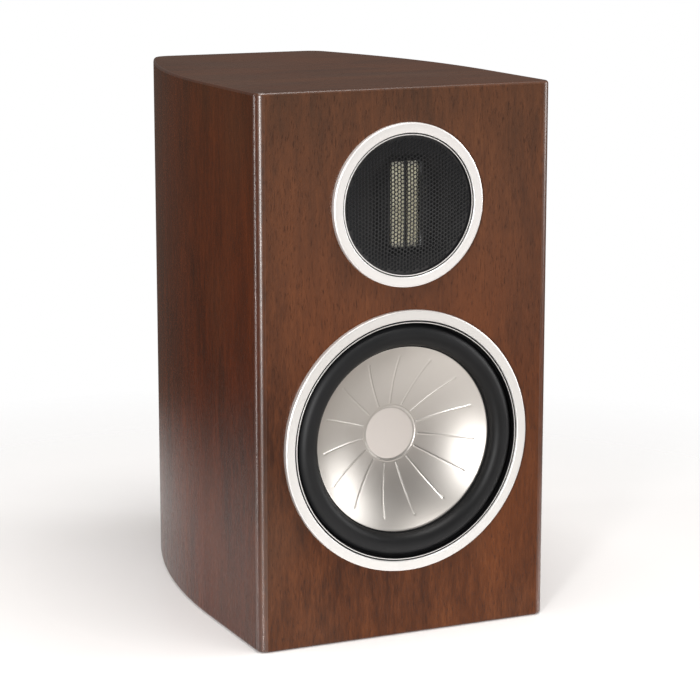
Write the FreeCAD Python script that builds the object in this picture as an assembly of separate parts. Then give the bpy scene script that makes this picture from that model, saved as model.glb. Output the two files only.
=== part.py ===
"""Compact two-way bookshelf loudspeaker with a curved cabinet, a ribbon tweeter and a metal-cone woofer.

Every shape is drawn with y = 0 on the baffle's front face and y growing towards the rear, x to the
right as seen from the front, and z up from the surface the cabinet stands on.  The export moves the
whole model in y, so that the origin lies on that surface under the middle of the overall box.
"""
import FreeCAD, Part
import math
import os
from FreeCAD import Vector

# ---- driving dimensions, millimetres ----
HEIGHT = 300.0
WIDTH = 173.0
CABINET_DEPTH = 239.0
RING_PROUD = 3.0          # trim rings stand this far in front of the baffle
POST_PROUD = 25.0         # binding posts stand this far behind the rear face
WALL = 15.0
BAFFLE = 20.0
SIDE_STRAIGHT = 76.0      # the sides run straight this far back, then curve inwards
SIDE_RADIUS = 412.0
FRONT_CORNER = 5.0
REAR_CORNER = 13.0
EDGE_ROUND = 1.8

TWEETER_Z = 237.4
TWEETER_RING = 44.0       # outer radius of its trim ring
TWEETER_PLATE = 42.5
TWEETER_REBATE = 6.0      # depth of the pocket that takes faceplate and gasket
WOOFER_Z = 108.8
WOOFER_RING = 72.0
WOOFER_FLANGE = 71.0
WOOFER_REBATE = 8.0
ROLL_MIDDLE = 58.1        # radius of the surround's crest
ROLL_RADIUS = 6.2
DISH_RADIUS = 80.0        # sphere that the cone's dish is part of
DISH_DEPTH = 22.0         # depth of that sphere's lowest point behind the baffle face
SHEET = 0.9               # thickness of the cone's metal
COIL_RADIUS = 15.5        # inside of the voice-coil former
MOTOR_FRONT = 50.0        # rear face of the basket, where the motor starts

PORT_Z = 232.0
PORT_RADIUS = 20.0
PORT_INNER_END = 123.0
TERMINAL_Z = 54.0
TERMINAL_SIDE = 76.0
POST_X = 19.0
POST_Z = 17.0
STUD_RADIUS = 3.0
SOCKET_RADIUS = 2.0       # takes a 4 mm banana plug
SOCKET_DEPTH = 20.0
RUNNING = 0.05            # radial clearance of a running fit
GAP = 0.2                 # clearance of a loose fit

REAR = CABINET_DEPTH
ORIGIN_SHIFT = -(CABINET_DEPTH + POST_PROUD - RING_PROUD) / 2
HALF = WIDTH / 2
PLATE_FACE = REAR + 2.0   # outer face of the terminal panel
FLANGE_FACE = PLATE_FACE + 4.5
LINK_FACE = FLANGE_FACE + 1.0
KNOB_FACE = LINK_FACE + 1.4
STUD_END = REAR + POST_PROUD
POSTS = {
    "hf_positive": (POST_X, TERMINAL_Z + POST_Z),
    "hf_negative": (-POST_X, TERMINAL_Z + POST_Z),
    "lf_positive": (POST_X, TERMINAL_Z - POST_Z),
    "lf_negative": (-POST_X, TERMINAL_Z - POST_Z),
}


# ---- shape helpers ----
def box(x, y, z):
    """A box between the two values given for each axis."""
    return Part.makeBox(x[1] - x[0], y[1] - y[0], z[1] - z[0], Vector(x[0], y[0], z[0]))


def rod(radius, y0, y1, x=0.0, z=0.0):
    """A solid cylinder along y."""
    return Part.makeCylinder(radius, y1 - y0, Vector(x, y0, z), Vector(0, 1, 0))


def tube(outer, inner, y0, y1, x=0.0, z=0.0):
    """A hollow cylinder along y."""
    return rod(outer, y0, y1, x, z).cut(rod(inner, y0 - 1, y1 + 1, x, z))


def post(radius, z0, z1, x, y):
    """A solid cylinder along z."""
    return Part.makeCylinder(radius, z1 - z0, Vector(x, y, z0))


def hexagon(across_flats, y0, y1, x, z):
    """A hexagonal prism along y."""
    corner = across_flats / math.sqrt(3)
    turns = [math.radians(60 * k) for k in range(7)]
    ring = [Vector(x + corner * math.cos(a), y0, z + corner * math.sin(a)) for a in turns]
    return Part.Face(Part.makePolygon(ring)).extrude(Vector(0, y1 - y0, 0))


def spun(z, start, *steps):
    """Turn a closed (radius, y) profile about the driver's axis: a step is a point, or an arc's middle and end."""
    edges = []
    here = Vector(start[0], start[1], z)
    for step in [*steps, start]:
        if isinstance(step[0], tuple):
            middle, end = (Vector(p[0], p[1], z) for p in step)
            edges.append(Part.Arc(here, middle, end).toShape())
        else:
            end = Vector(step[0], step[1], z)
            edges.append(Part.LineSegment(here, end).toShape())
        here = end
    return Part.Face(Part.Wire(edges)).revolve(Vector(0, 0, z), Vector(0, 1, 0), 360)


def around(shape, z, count, start=0.0):
    """Copies of a shape turned in equal steps about a driver's axis."""
    copies = []
    for k in range(count):
        copy = shape.copy()
        copy.rotate(Vector(0, 0, z), Vector(0, 1, 0), start + 360.0 * k / count)
        copies.append(copy)
    return copies


def fused(shapes):
    """One solid from several that meet."""
    whole = shapes[0].multiFuse(shapes[1:])
    return whole.removeSplitter()


def cut_all(shape, tools):
    """A shape with every tool taken away."""
    return shape.cut(Part.makeCompound(tools))


def plan_prism(edges, z0, z1):
    """A plan outline drawn at z = 0, raised between two heights."""
    face = Part.Face(Part.Wire(Part.__sortEdges__(edges)))
    face.translate(Vector(0, 0, z0))
    return face.extrude(Vector(0, 0, z1 - z0))


def line(a, b):
    return Part.LineSegment(Vector(*a, 0), Vector(*b, 0)).toShape()


def arc(a, middle, b):
    return Part.Arc(Vector(*a, 0), Vector(*middle, 0), Vector(*b, 0)).toShape()


def lead(points, diameter):
    """A wire along straight runs joined by tangent arcs, each as large as its two runs allow."""
    route = [Vector(*p) for p in points]
    edges = []
    radii = []
    here = route[0]
    for before, corner, after in zip(route, route[1:], route[2:]):
        into = (before - corner).normalize()
        out = (after - corner).normalize()
        half_turn = (math.pi - into.getAngle(out)) / 2
        shorter = min((before - corner).Length, (after - corner).Length)
        reach = 0.45 * shorter
        radius = reach / math.tan(half_turn)
        radii.append(round(radius, 1))
        first = corner + into * reach
        last = corner + out * reach
        inward = (into + out).normalize()
        middle = corner + inward * (radius / math.cos(half_turn) - radius)
        edges.append(Part.LineSegment(here, first).toShape())
        edges.append(Part.Arc(first, middle, last).toShape())
        here = last
    edges.append(Part.LineSegment(here, route[-1]).toShape())
    path = Part.Wire(edges)
    start = Part.Wire(Part.makeCircle(diameter / 2, route[0], route[1] - route[0]))
    print("lead of", round(path.Length, 1), "mm, arcs of", radii)
    return path.makePipeShell([start], True, False)


# ---- cabinet ----
def side_outline(sign):
    """One side of the outer plan: front corner, straight run, long curve and rear corner."""
    centre_x = HALF - SIDE_RADIUS
    corner_y = REAR - REAR_CORNER
    corner_x = centre_x + math.sqrt((SIDE_RADIUS - REAR_CORNER) ** 2 - (corner_y - SIDE_STRAIGHT) ** 2)
    sweep = math.atan2(corner_y - SIDE_STRAIGHT, corner_x - centre_x)

    def on_curve(angle):
        return (sign * (centre_x + SIDE_RADIUS * math.cos(angle)), SIDE_STRAIGHT + SIDE_RADIUS * math.sin(angle))

    def on_corner(angle):
        return (sign * (corner_x + REAR_CORNER * math.cos(angle)), corner_y + REAR_CORNER * math.sin(angle))

    slant = FRONT_CORNER * (1 - math.sqrt(0.5))
    front = (sign * (HALF - FRONT_CORNER), 0)
    flank = (sign * HALF, FRONT_CORNER)
    edges = [
        arc(front, (sign * (HALF - slant), slant), flank),
        line(flank, on_curve(0)),
        arc(on_curve(0), on_curve(sweep / 2), on_curve(sweep)),
        arc(on_curve(sweep), on_corner((sweep + math.pi / 2) / 2), on_corner(math.pi / 2)),
    ]
    return edges, corner_x


def cabinet_block():
    """The whole outer form, with its top and bottom edges rounded."""
    right, rear_half = side_outline(1)
    left, _ = side_outline(-1)
    front_half = HALF - FRONT_CORNER
    across = [line((-front_half, 0), (front_half, 0)), line((-rear_half, REAR), (rear_half, REAR))]
    block = plan_prism(right + left + across, 0, HEIGHT)
    rims = [e for e in block.Edges if e.BoundBox.ZLength < 0.01]
    return block.makeFillet(EDGE_ROUND, rims)


def inner_x(y, inset):
    """Half width of the cavity at a depth, for a wall of the given thickness."""
    if y <= SIDE_STRAIGHT:
        return HALF - inset
    return HALF - SIDE_RADIUS + math.sqrt((SIDE_RADIUS - inset) ** 2 - (y - SIDE_STRAIGHT) ** 2)


def inner_prism(inset, front, rear, z0, z1):
    """A prism that follows the sides at an inset, between two depths and two heights."""
    middle_y = (SIDE_STRAIGHT + rear) / 2
    front_x = inner_x(front, inset)
    rear_x = inner_x(rear, inset)
    edges = [line((-front_x, front), (front_x, front)), line((-rear_x, rear), (rear_x, rear))]
    for sign in (1, -1):
        bend = (sign * front_x, SIDE_STRAIGHT)
        edges.append(line((sign * front_x, front), bend))
        edges.append(arc(bend, (sign * inner_x(middle_y, inset), middle_y), (sign * rear_x, rear)))
    return plan_prism(edges, z0, z1)


def magnet_places():
    """The four blind pockets that hold the grille magnets, close to the baffle's corners."""
    side = HALF - 11.0
    return [(x, z) for x in (-side, side) for z in (26.0, HEIGHT - 26.0)]


def cabinet():
    block = cabinet_block()
    far = 2 * HEIGHT
    floor = WALL
    ceiling = HEIGHT - WALL
    everywhere = (-far, far)
    shell = block.common(box(everywhere, everywhere, (floor, ceiling)))
    shell = shell.cut(inner_prism(WALL, BAFFLE, REAR - WALL, floor - 1, ceiling + 1))
    rear_x = inner_x(REAR - WALL, WALL)
    rear_zone = box((-rear_x, rear_x), (REAR - WALL, far), everywhere)
    front_zone = box(everywhere, (-far, BAFFLE), everywhere)
    sides = shell.cut(front_zone).cut(rear_zone)
    parts = {
        "front_baffle": drilled_baffle(shell.common(front_zone)),
        "rear_panel": drilled_rear(shell.common(rear_zone)),
        "left_side_panel": sides.common(box((-far, 0), everywhere, everywhere)),
        "right_side_panel": sides.common(box((0, far), everywhere, everywhere)),
        "top_panel": block.common(box(everywhere, everywhere, (ceiling, far))),
        "bottom_panel": block.common(box(everywhere, everywhere, (-far, floor))),
    }
    parts["window_brace"] = window_brace()
    lining = inner_prism(WALL, 32, 205, 20, 178).cut(inner_prism(WALL + 10, 30, 207, 19, 179))
    parts["damping_foam"] = lining
    magnets = [rod(6.0, 2.5, 7.5, x, z) for x, z in magnet_places()]
    parts["grille_magnets"] = Part.makeCompound(magnets)
    return parts


def drilled_baffle(panel):
    """The front panel with its two stepped driver openings, and blind pockets from behind for magnets."""
    relief = 6.0
    hole = 67.2
    woofer_back = spun(
        WOOFER_Z, (0, BAFFLE - relief), (hole, BAFFLE - relief), (hole + 2.3, BAFFLE + 0.01), (0, BAFFLE + 0.01)
    )
    tools = [
        rod(TWEETER_PLATE + GAP, -1, TWEETER_REBATE, z=TWEETER_Z),
        rod(36.8, -1, BAFFLE + 1, z=TWEETER_Z),
        rod(WOOFER_FLANGE + GAP, -1, WOOFER_REBATE, z=WOOFER_Z),
        rod(hole, -1, BAFFLE + 1, z=WOOFER_Z),
        woofer_back,
    ]
    tools += [rod(6.0, 2.5, BAFFLE + 1, x, z) for x, z in magnet_places()]
    tools += [rod(1.6, 0, 18.0, x, z) for x, z in tweeter_screw_places()]
    panel = panel.cut(fused(tools[0:2])).cut(fused(tools[2:5]))
    return cut_all(panel, tools[5:])


def drilled_rear(panel):
    """The rear panel with the port hole, the terminal cut-out and its rebate, and the bolt hole."""
    rebate = TERMINAL_SIDE / 2 + GAP
    opening = 31.0
    tools = [
        rod(35.2, REAR - WALL - 1, REAR + 1, z=PORT_Z),
        rod(4.5, REAR - WALL - 1, REAR + 1, z=WOOFER_Z),
        box((-rebate, rebate), (REAR - 2.0, REAR + 1), (TERMINAL_Z - rebate, TERMINAL_Z + rebate)),
        box((-opening, opening), (REAR - WALL - 1, REAR), (TERMINAL_Z - opening, TERMINAL_Z + opening)),
    ]
    tools += [rod(1.5, REAR - 14, REAR - 1, x, z) for x, z in terminal_screw_places()]
    for tool in tools:
        panel = panel.cut(tool)
    return panel


def window_brace():
    """A horizontal frame between the drivers that ties the walls together, with two windows for air."""
    z0, z1 = 183.0, 195.0
    plate = inner_prism(WALL, BAFFLE, REAR - WALL, z0, z1)
    front_window = box((-48, 48), (48, 122), (z0 - 1, z1 + 1))
    rear_window = box((-34, 34), (140, 196), (z0 - 1, z1 + 1))
    windows = [w.makeFillet(10.0, [e for e in w.Edges if e.BoundBox.ZLength > 10]) for w in (front_window, rear_window)]
    return cut_all(plate, windows)


# ---- tweeter ----
def tweeter_screw_places():
    radius = 39.1
    turns = [math.radians(45 + 90 * k) for k in range(4)]
    return [(radius * math.cos(a), TWEETER_Z + radius * math.sin(a)) for a in turns]


def tweeter_trim_ring():
    """A satin ring: broad outer band, a fine groove and a thin inner lip that holds the grille."""
    outer = TWEETER_RING
    front = -RING_PROUD
    return spun(
        TWEETER_Z,
        (36.4, -0.9),
        (36.4, -1.9),
        (36.8, -2.3),
        (38.0, -2.3),
        (38.1, -1.3),
        (38.5, -1.3),
        (38.6, front + 0.3),
        (38.9, front),
        (outer - 1.0, front),
        ((outer - 0.3, front + 0.3), (outer, front + 1.0)),
        (outer, 0),
        (37.5, 0),
        (37.5, -0.9),
    )


def tweeter_grille():
    """A shallow spherical dome of thin sheet with a flat rim under the ring's lip."""
    rim = 37.3
    dome = 36.0
    rise = 1.7
    sheet = 0.5
    back = -0.3
    front = back - sheet
    sphere = (dome**2 + rise**2) / (2 * rise)
    half_rise = rise - (sphere - math.sqrt(sphere**2 - (dome / 2) ** 2))
    return spun(
        TWEETER_Z,
        (0, front - rise),
        ((dome / 2, front - half_rise), (dome, front)),
        (rim, front),
        (rim, back),
        (dome, back),
        ((dome / 2, back - half_rise), (0, back - rise)),
    )


def flared_pocket(low, high, y_low, y_high):
    """A pocket whose rectangular mouth (half width, half height) narrows to a smaller rectangle."""
    wires = []
    for (half_x, half_z), y in ((low, y_low), (high, y_high)):
        corners = [(-half_x, -half_z), (half_x, -half_z), (half_x, half_z), (-half_x, half_z)]
        ring = [Vector(x, y, TWEETER_Z + z) for x, z in [*corners, corners[0]]]
        wires.append(Part.makePolygon(ring))
    return Part.makeLoft(wires, True, True)


def tweeter_faceplate():
    """A round plate with a flared opening for the ribbon and a slim bar down its middle."""
    back = TWEETER_REBATE - 1.0
    window = (8.6, 23.0)
    plate = rod(TWEETER_PLATE, 0, back, z=TWEETER_Z)
    plate = plate.cut(flared_pocket((24.0, 27.5), window, -0.01, 3.0))
    throat = box((-window[0], window[0]), (2.9, back + 1), (TWEETER_Z - window[1], TWEETER_Z + window[1]))
    tab_seat = box((-window[0], window[0]), (4.0, back + 1), (TWEETER_Z - 27, TWEETER_Z + 27))
    plate = plate.cut(throat).cut(tab_seat)
    plate = cut_all(plate, [rod(1.8, -1, back + 1, x, z) for x, z in tweeter_screw_places()])
    plate = cut_all(plate, [rod(3.0, -1, 2.0, x, z) for x, z in tweeter_screw_places()])
    bar = box((-0.7, 0.7), (1.2, 2.7), (TWEETER_Z - window[1] - 1.0, TWEETER_Z + window[1] + 1.0))
    return fused([plate, bar])


def ribbon_diaphragm():
    """A pleated metal foil with flat tabs at both ends, where the clamps hold it."""
    pleats = 20
    half_height = 21.0
    tab = 25.5
    half_width = 8.2
    foil = 0.3
    near = 3.2
    far = 4.0
    step = 2 * half_height / (2 * pleats)
    rise = [(near if k % 2 else far, -half_height + k * step) for k in range(2 * pleats + 1)]
    seat = TWEETER_REBATE - 1.0 - foil
    front = [(seat, -tab), (seat, -half_height - 0.6), *rise, (seat, half_height + 0.6), (seat, tab)]
    back = [(y + foil, z) for y, z in reversed(front)]
    points = [Vector(-half_width, y, TWEETER_Z + z) for y, z in [*front, *back, front[0]]]
    return Part.Face(Part.makePolygon(points)).extrude(Vector(2 * half_width, 0, 0))


def tweeter():
    back = TWEETER_REBATE - 1.0
    clamp_low = box((-8.2, 8.2), (back, back + 3), (TWEETER_Z - 27, TWEETER_Z - 22.5))
    clamp_high = box((-8.2, 8.2), (back, back + 3), (TWEETER_Z + 22.5, TWEETER_Z + 27))
    magnet_z = (TWEETER_Z - 25.5, TWEETER_Z + 25.5)
    magnets = [box((9.4, 18.4), (back, 16), magnet_z), box((-18.4, -9.4), (back, 16), magnet_z)]
    yoke_z = (TWEETER_Z - 25.9, TWEETER_Z + 25.9)
    yoke = box((-22, 22), (back, 19.5), yoke_z).cut(box((-18.4, 18.4), (back - 1, 16), (0, HEIGHT)))
    cup_radius = 36.3
    cup_end = 48.0
    cup = rod(cup_radius, back, cup_end, z=TWEETER_Z).cut(rod(cup_radius - 2, back - 1, cup_end - 2, z=TWEETER_Z))
    core = box((-15, 15), (19.5, 36), (TWEETER_Z - 12, TWEETER_Z + 12))
    core = core.cut(box((-10, -4), (19, 37), (TWEETER_Z - 7, TWEETER_Z + 7)))
    core = core.cut(box((4, 10), (19, 37), (TWEETER_Z - 7, TWEETER_Z + 7)))
    winding = box((-9.5, 9.5), (36, 42), (TWEETER_Z - 6.5, TWEETER_Z + 6.5))
    screws = []
    for x, z in tweeter_screw_places():
        screws.append(rod(2.8, 0.2, 2.0, x, z).fuse(rod(1.55, 2.0, 17.5, x, z)))
    tabs = [box((x - 0.4, x + 0.4), (cup_end, cup_end + 8), (TWEETER_Z - 2.4, TWEETER_Z + 2.4)) for x in (-7, 7)]
    return {
        "tweeter_trim_ring": tweeter_trim_ring(),
        "tweeter_grille": tweeter_grille(),
        "tweeter_faceplate": tweeter_faceplate(),
        "ribbon_diaphragm": ribbon_diaphragm(),
        "ribbon_clamps": Part.makeCompound([clamp_low, clamp_high]),
        "tweeter_magnets": Part.makeCompound(magnets),
        "tweeter_yoke": yoke,
        "tweeter_transformer": Part.makeCompound([core, winding]),
        "tweeter_rear_cup": cup,
        "tweeter_gasket": cut_all(
            tube(TWEETER_PLATE, 37.0, back, TWEETER_REBATE, z=TWEETER_Z),
            [rod(1.8, 0, 10, x, z) for x, z in tweeter_screw_places()],
        ),
        "tweeter_screws": Part.makeCompound(screws),
        "tweeter_terminals": Part.makeCompound(tabs),
    }


# ---- woofer ----
def woofer_trim_ring():
    """A satin ring like the tweeter's, with a skirt that centres it in the baffle's pocket."""
    outer = WOOFER_RING
    front = -RING_PROUD
    lip = 64.1
    return spun(
        WOOFER_Z,
        (lip, 0.4),
        (lip, -1.8),
        (lip + 0.4, -2.2),
        (65.3, -2.2),
        (65.4, -1.0),
        (65.9, -1.0),
        (66.0, front + 0.3),
        (66.3, front),
        (outer - 1.0, front),
        ((outer - 0.3, front + 0.3), (outer, front + 1.0)),
        (outer, 0),
        (WOOFER_FLANGE, 0),
        (WOOFER_FLANGE, 3.6),
        (69.8, 3.6),
        (69.8, 0.4),
    )


def woofer_surround():
    """A rubber half roll with a flat foot on the basket and a narrow one on the cone's rim."""
    foot_front, foot_back = 2.8, 3.6
    wall = 0.8
    lift = ROLL_RADIUS - RING_PROUD      # depth of the roll's centre line behind the baffle
    shoulder = math.sqrt(ROLL_RADIUS**2 - (lift - foot_front) ** 2)
    hollow = ROLL_RADIUS - wall
    return spun(
        WOOFER_Z,
        (51.2, foot_back),
        (51.2, foot_front),
        (ROLL_MIDDLE - shoulder, foot_front),
        ((ROLL_MIDDLE, -RING_PROUD), (ROLL_MIDDLE + shoulder, foot_front)),
        (69.5, foot_front),
        (69.5, foot_back),
        (ROLL_MIDDLE + hollow, foot_back),
        (ROLL_MIDDLE + hollow, lift),
        ((ROLL_MIDDLE, -RING_PROUD + wall), (ROLL_MIDDLE - hollow, lift)),
        (ROLL_MIDDLE - hollow, foot_back),
    )


def dish_y(radius, sphere=DISH_RADIUS):
    """Depth of the dish, or of a sphere of another size about the same centre, at a radius."""
    return DISH_DEPTH - DISH_RADIUS + math.sqrt(sphere**2 - radius**2)


def woofer_cone():
    """A one-piece metal dish with a flat centre disc, a flat rim and fifteen raised radial ribs."""
    ribs = 15
    rib = 0.45
    inner, outer = 16.5, 45.0
    rim = 52.7
    rim_front = 3.6
    rim_inner = math.sqrt(DISH_RADIUS**2 - (rim_front - DISH_DEPTH + DISH_RADIUS) ** 2)
    behind = DISH_RADIUS + SHEET
    centre_back = DISH_DEPTH + 0.4
    dish = spun(
        WOOFER_Z,
        (0, centre_back - SHEET),
        (15.0, centre_back - SHEET),
        (15.6, dish_y(15.6)),
        ((34.0, dish_y(34.0)), (rim_inner, rim_front)),
        (rim, rim_front),
        (rim, rim_front + SHEET),
        (rim_inner + 0.3, rim_front + SHEET),
        ((34.0, dish_y(34.0, behind)), (16.6, dish_y(16.6, behind))),
        (16.6, centre_back),
        (0, centre_back),
    )
    low = math.degrees(math.asin(inner / DISH_RADIUS))
    high = math.degrees(math.asin(outer / DISH_RADIUS))
    centre = Vector(0, DISH_DEPTH - DISH_RADIUS, WOOFER_Z)
    start = centre + Vector(0, DISH_RADIUS * math.cos(math.radians(low)), inner)
    across = Vector(0, math.sin(math.radians(low)), -math.cos(math.radians(low))).negative()
    section = Part.Face(Part.Wire(Part.makeCircle(rib, start, across)))
    ridge = section.revolve(centre, Vector(1, 0, 0), high - low)
    return fused([dish, *around(ridge, WOOFER_Z, ribs)])


def woofer_basket():
    """A cast frame: mounting flange, six open legs, spider seat and motor plate."""
    front = 3.6
    frame = spun(
        WOOFER_Z,
        (64.8, front),
        (WOOFER_FLANGE, front),
        (WOOFER_FLANGE, WOOFER_REBATE - 1.0),
        (66.9, WOOFER_REBATE - 1.0),
        (66.9, 16.0),
        (46.0, 42.0),
        (46.0, MOTOR_FRONT),
        (22.0, MOTOR_FRONT),
        (22.0, MOTOR_FRONT - 3.5),
        (37.0, MOTOR_FRONT - 3.5),
        (37.0, 40.6),
        (42.0, 40.6),
        (42.0, 38.5),
        (64.8, 13.5),
    )
    window = box((44.0, 80.0), (17.0, 39.5), (WOOFER_Z - 21.0, WOOFER_Z + 21.0))
    window = window.makeFillet(6.0, [e for e in window.Edges if e.BoundBox.XLength > 30])
    frame = cut_all(frame, around(window, WOOFER_Z, 6))
    strip_seat = box((44.0, 50.0), (38.0, MOTOR_FRONT + 1), (WOOFER_Z - 9, WOOFER_Z + 9))
    return frame.cut(strip_seat)


def spider():
    """A corrugated cloth disc that centres the voice coil."""
    cuff, first, last, foot = 15.9, 17.5, 36.5, 41.8
    waves = 8
    swing = 1.0
    cloth = 0.6
    level = 40.0
    pitch = (last - first) / waves

    def track(y):
        steps = []
        for k in range(waves):
            start = first + k * pitch
            middle = (start + pitch / 2, y + (swing if k % 2 else -swing))
            steps.append((middle, (start + pitch, y)))
        return steps

    back = level + cloth
    backwards = []
    for k in reversed(range(waves)):
        start = first + k * pitch
        middle = (start + pitch / 2, back + (swing if k % 2 else -swing))
        backwards.append((middle, (start, back)))
    return spun(WOOFER_Z, (cuff, level), (first, level), *track(level), (foot, level), (foot, back),
                (last, back), *backwards, (cuff, back))


def woofer_motor():
    plate_back = MOTOR_FRONT + 6.0
    magnet_back = plate_back + 15.0
    yoke_back = magnet_back + 6.0
    thread = 4.0
    pole = rod(15.0, MOTOR_FRONT - 0.5, magnet_back, z=WOOFER_Z)
    base = rod(42.0, magnet_back, yoke_back, z=WOOFER_Z)
    yoke = fused([pole, base]).cut(rod(thread, yoke_back - 14, yoke_back + 1, z=WOOFER_Z))
    head_back = REAR + 1.6
    shank = rod(thread - RUNNING, yoke_back - 13, head_back, z=WOOFER_Z)
    head = rod(6.5, head_back, head_back + 8, z=WOOFER_Z)
    head = head.cut(hexagon(6.0, head_back + 3.5, head_back + 9, 0, WOOFER_Z))
    return {
        "top_plate": tube(42.0, 17.1, MOTOR_FRONT, plate_back, z=WOOFER_Z),
        "ferrite_magnet": tube(45.0, 22.0, plate_back, magnet_back, z=WOOFER_Z),
        "pole_yoke": yoke,
        "tension_bolt": fused([shank, head]),
        "bolt_washer": tube(12.0, 4.3, REAR, head_back, z=WOOFER_Z),
    }


def woofer():
    former_back = MOTOR_FRONT + 10.0
    former_wall = 0.4
    wire_in = COIL_RADIUS + former_wall
    strip = box((44.0, 45.8), (42.2, MOTOR_FRONT), (WOOFER_Z - 8, WOOFER_Z + 8))
    tabs = [box((45.8, 54.0), (45.6, 46.4), (WOOFER_Z + z - 2.4, WOOFER_Z + z + 2.4)) for z in (-4.5, 4.5)]
    tinsel = []
    for side in (-1, 1):
        route = [(47.2, 45.6), (47.2, 40.8), (44.6, 34.0), (38.0, 29.5), (29.0, 31.5), (21.0, 30.0), (16.6, 33.0)]
        tinsel.append(lead([(x, y, WOOFER_Z + side * 4.5) for x, y in route], 1.0))
    parts = {
        "woofer_trim_ring": woofer_trim_ring(),
        "woofer_basket": woofer_basket(),
        "woofer_gasket": tube(WOOFER_FLANGE, 67.4, WOOFER_REBATE - 1, WOOFER_REBATE, z=WOOFER_Z),
        "woofer_surround": woofer_surround(),
        "woofer_cone": woofer_cone(),
        "voice_coil_former": tube(wire_in, COIL_RADIUS, DISH_DEPTH + 0.4, former_back, z=WOOFER_Z),
        "voice_coil": tube(wire_in + 0.7, wire_in, MOTOR_FRONT - 3, former_back - 1, z=WOOFER_Z),
        "spider": spider(),
        "woofer_terminals": Part.makeCompound([strip, *tabs]),
        "tinsel_leads": Part.makeCompound(tinsel),
    }
    parts.update(woofer_motor())
    return parts


# ---- rear: port, terminals ----
def reflex_port():
    """A tube with a rounded flare at both ends and a flange outside the rear panel."""
    wall = 2.5
    bell = 14.0
    horn = 8.0
    lip = REAR + 1.5
    outer = PORT_RADIUS + wall
    slant = 1 - math.sqrt(0.5)
    return spun(
        PORT_Z,
        (PORT_RADIUS, lip - bell),
        ((PORT_RADIUS + bell * slant, lip - bell * slant), (PORT_RADIUS + bell, lip)),
        (36.9, lip),
        (37.5, lip - 0.6),
        (37.5, REAR),
        (35.0, REAR),
        (35.0, REAR - 4),
        (outer, REAR - 17),
        (outer, PORT_INNER_END + 10),
        (30.0, PORT_INNER_END + 2),
        (30.0, PORT_INNER_END),
        (PORT_RADIUS + horn, PORT_INNER_END),
        ((PORT_RADIUS + horn * slant, PORT_INNER_END + horn * slant), (PORT_RADIUS, PORT_INNER_END + horn)),
    )


def terminal_screw_places():
    reach = 33.5
    return [(x, TERMINAL_Z + z) for x in (-reach, reach) for z in (-reach, reach)]


def terminal_panel():
    """A square plate with rounded corners, holes for four posts and countersinks for four screws."""
    half = TERMINAL_SIDE / 2
    plate = box((-half, half), (REAR - 2, PLATE_FACE), (TERMINAL_Z - half, TERMINAL_Z + half))
    corners = [e for e in plate.Edges if e.BoundBox.YLength > 3]
    plate = plate.makeFillet(2.0, corners)
    front = max(plate.Faces, key=lambda f: f.CenterOfMass.y)
    plate = plate.makeChamfer(0.6, front.Edges)
    holes = [rod(STUD_RADIUS + 0.1, REAR - 3, PLATE_FACE + 1, x, z) for x, z in POSTS.values()]
    for x, z in terminal_screw_places():
        shank = rod(1.8, REAR - 3, PLATE_FACE + 1, x, z)
        sink = Part.makeCone(1.8, 3.3, 1.6, Vector(x, PLATE_FACE - 1.6, z), Vector(0, 1, 0))
        holes.append(shank.fuse(sink))
    return cut_all(plate, holes)


def countersunk_screw(x, z, face, length):
    head = Part.makeCone(1.6, 3.1, 1.5, Vector(x, face - 1.5, z), Vector(0, 1, 0))
    slot = [box((x - 2.2, x + 2.2), (face - 0.8, face + 1), (z - 0.4, z + 0.4))]
    slot.append(box((x - 0.4, x + 0.4), (face - 0.8, face + 1), (z - 2.2, z + 2.2)))
    return cut_all(fused([head, rod(1.45, face - length, face - 1.5, x, z)]), slot)


def knob(x, z):
    """A fluted barrel with a chamfered end and a running bore."""
    flutes = 16
    radius = 8.0
    end = STUD_END - 0.8
    barrel = rod(radius, KNOB_FACE, end, x, z)
    barrel = barrel.makeChamfer(0.7, [e for e in barrel.Edges if e.BoundBox.YLength < 0.01])
    grip = (KNOB_FACE + 4.2, end - 2.2)
    grooves = []
    for k in range(flutes):
        a = 2 * math.pi * k / flutes
        grooves.append(rod(0.9, *grip, x + (radius + 0.3) * math.cos(a), z + (radius + 0.3) * math.sin(a)))
    barrel = cut_all(barrel, grooves)
    band = tube(radius + 1, radius - 0.6, KNOB_FACE + 1.6, KNOB_FACE + 3.4, x, z)
    return cut_all(barrel, [band, rod(STUD_RADIUS + RUNNING, 0, 2 * REAR, x, z)])


def link_plate(sign):
    """A flat strap across the two posts of one polarity, with slots open towards the panel's middle."""
    half = 6.0
    play = 0.03
    depth = (FLANGE_FACE + play, LINK_FACE - play)
    reach = POST_Z + 8.0
    x0 = sign * POST_X
    strap = box((x0 - half, x0 + half), depth, (TERMINAL_Z - reach, TERMINAL_Z + reach))
    strap = strap.makeFillet(2.0, [e for e in strap.Edges if e.BoundBox.YLength > 0.5])
    slot = STUD_RADIUS + 0.15
    for z in (TERMINAL_Z - POST_Z, TERMINAL_Z + POST_Z):
        inner = sorted((x0, x0 - sign * 2 * half))
        strap = strap.cut(rod(slot, 0, 2 * REAR, x0, z))
        strap = strap.cut(box(inner, (0, 2 * REAR), (z - slot, z + slot)))
    return strap


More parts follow.
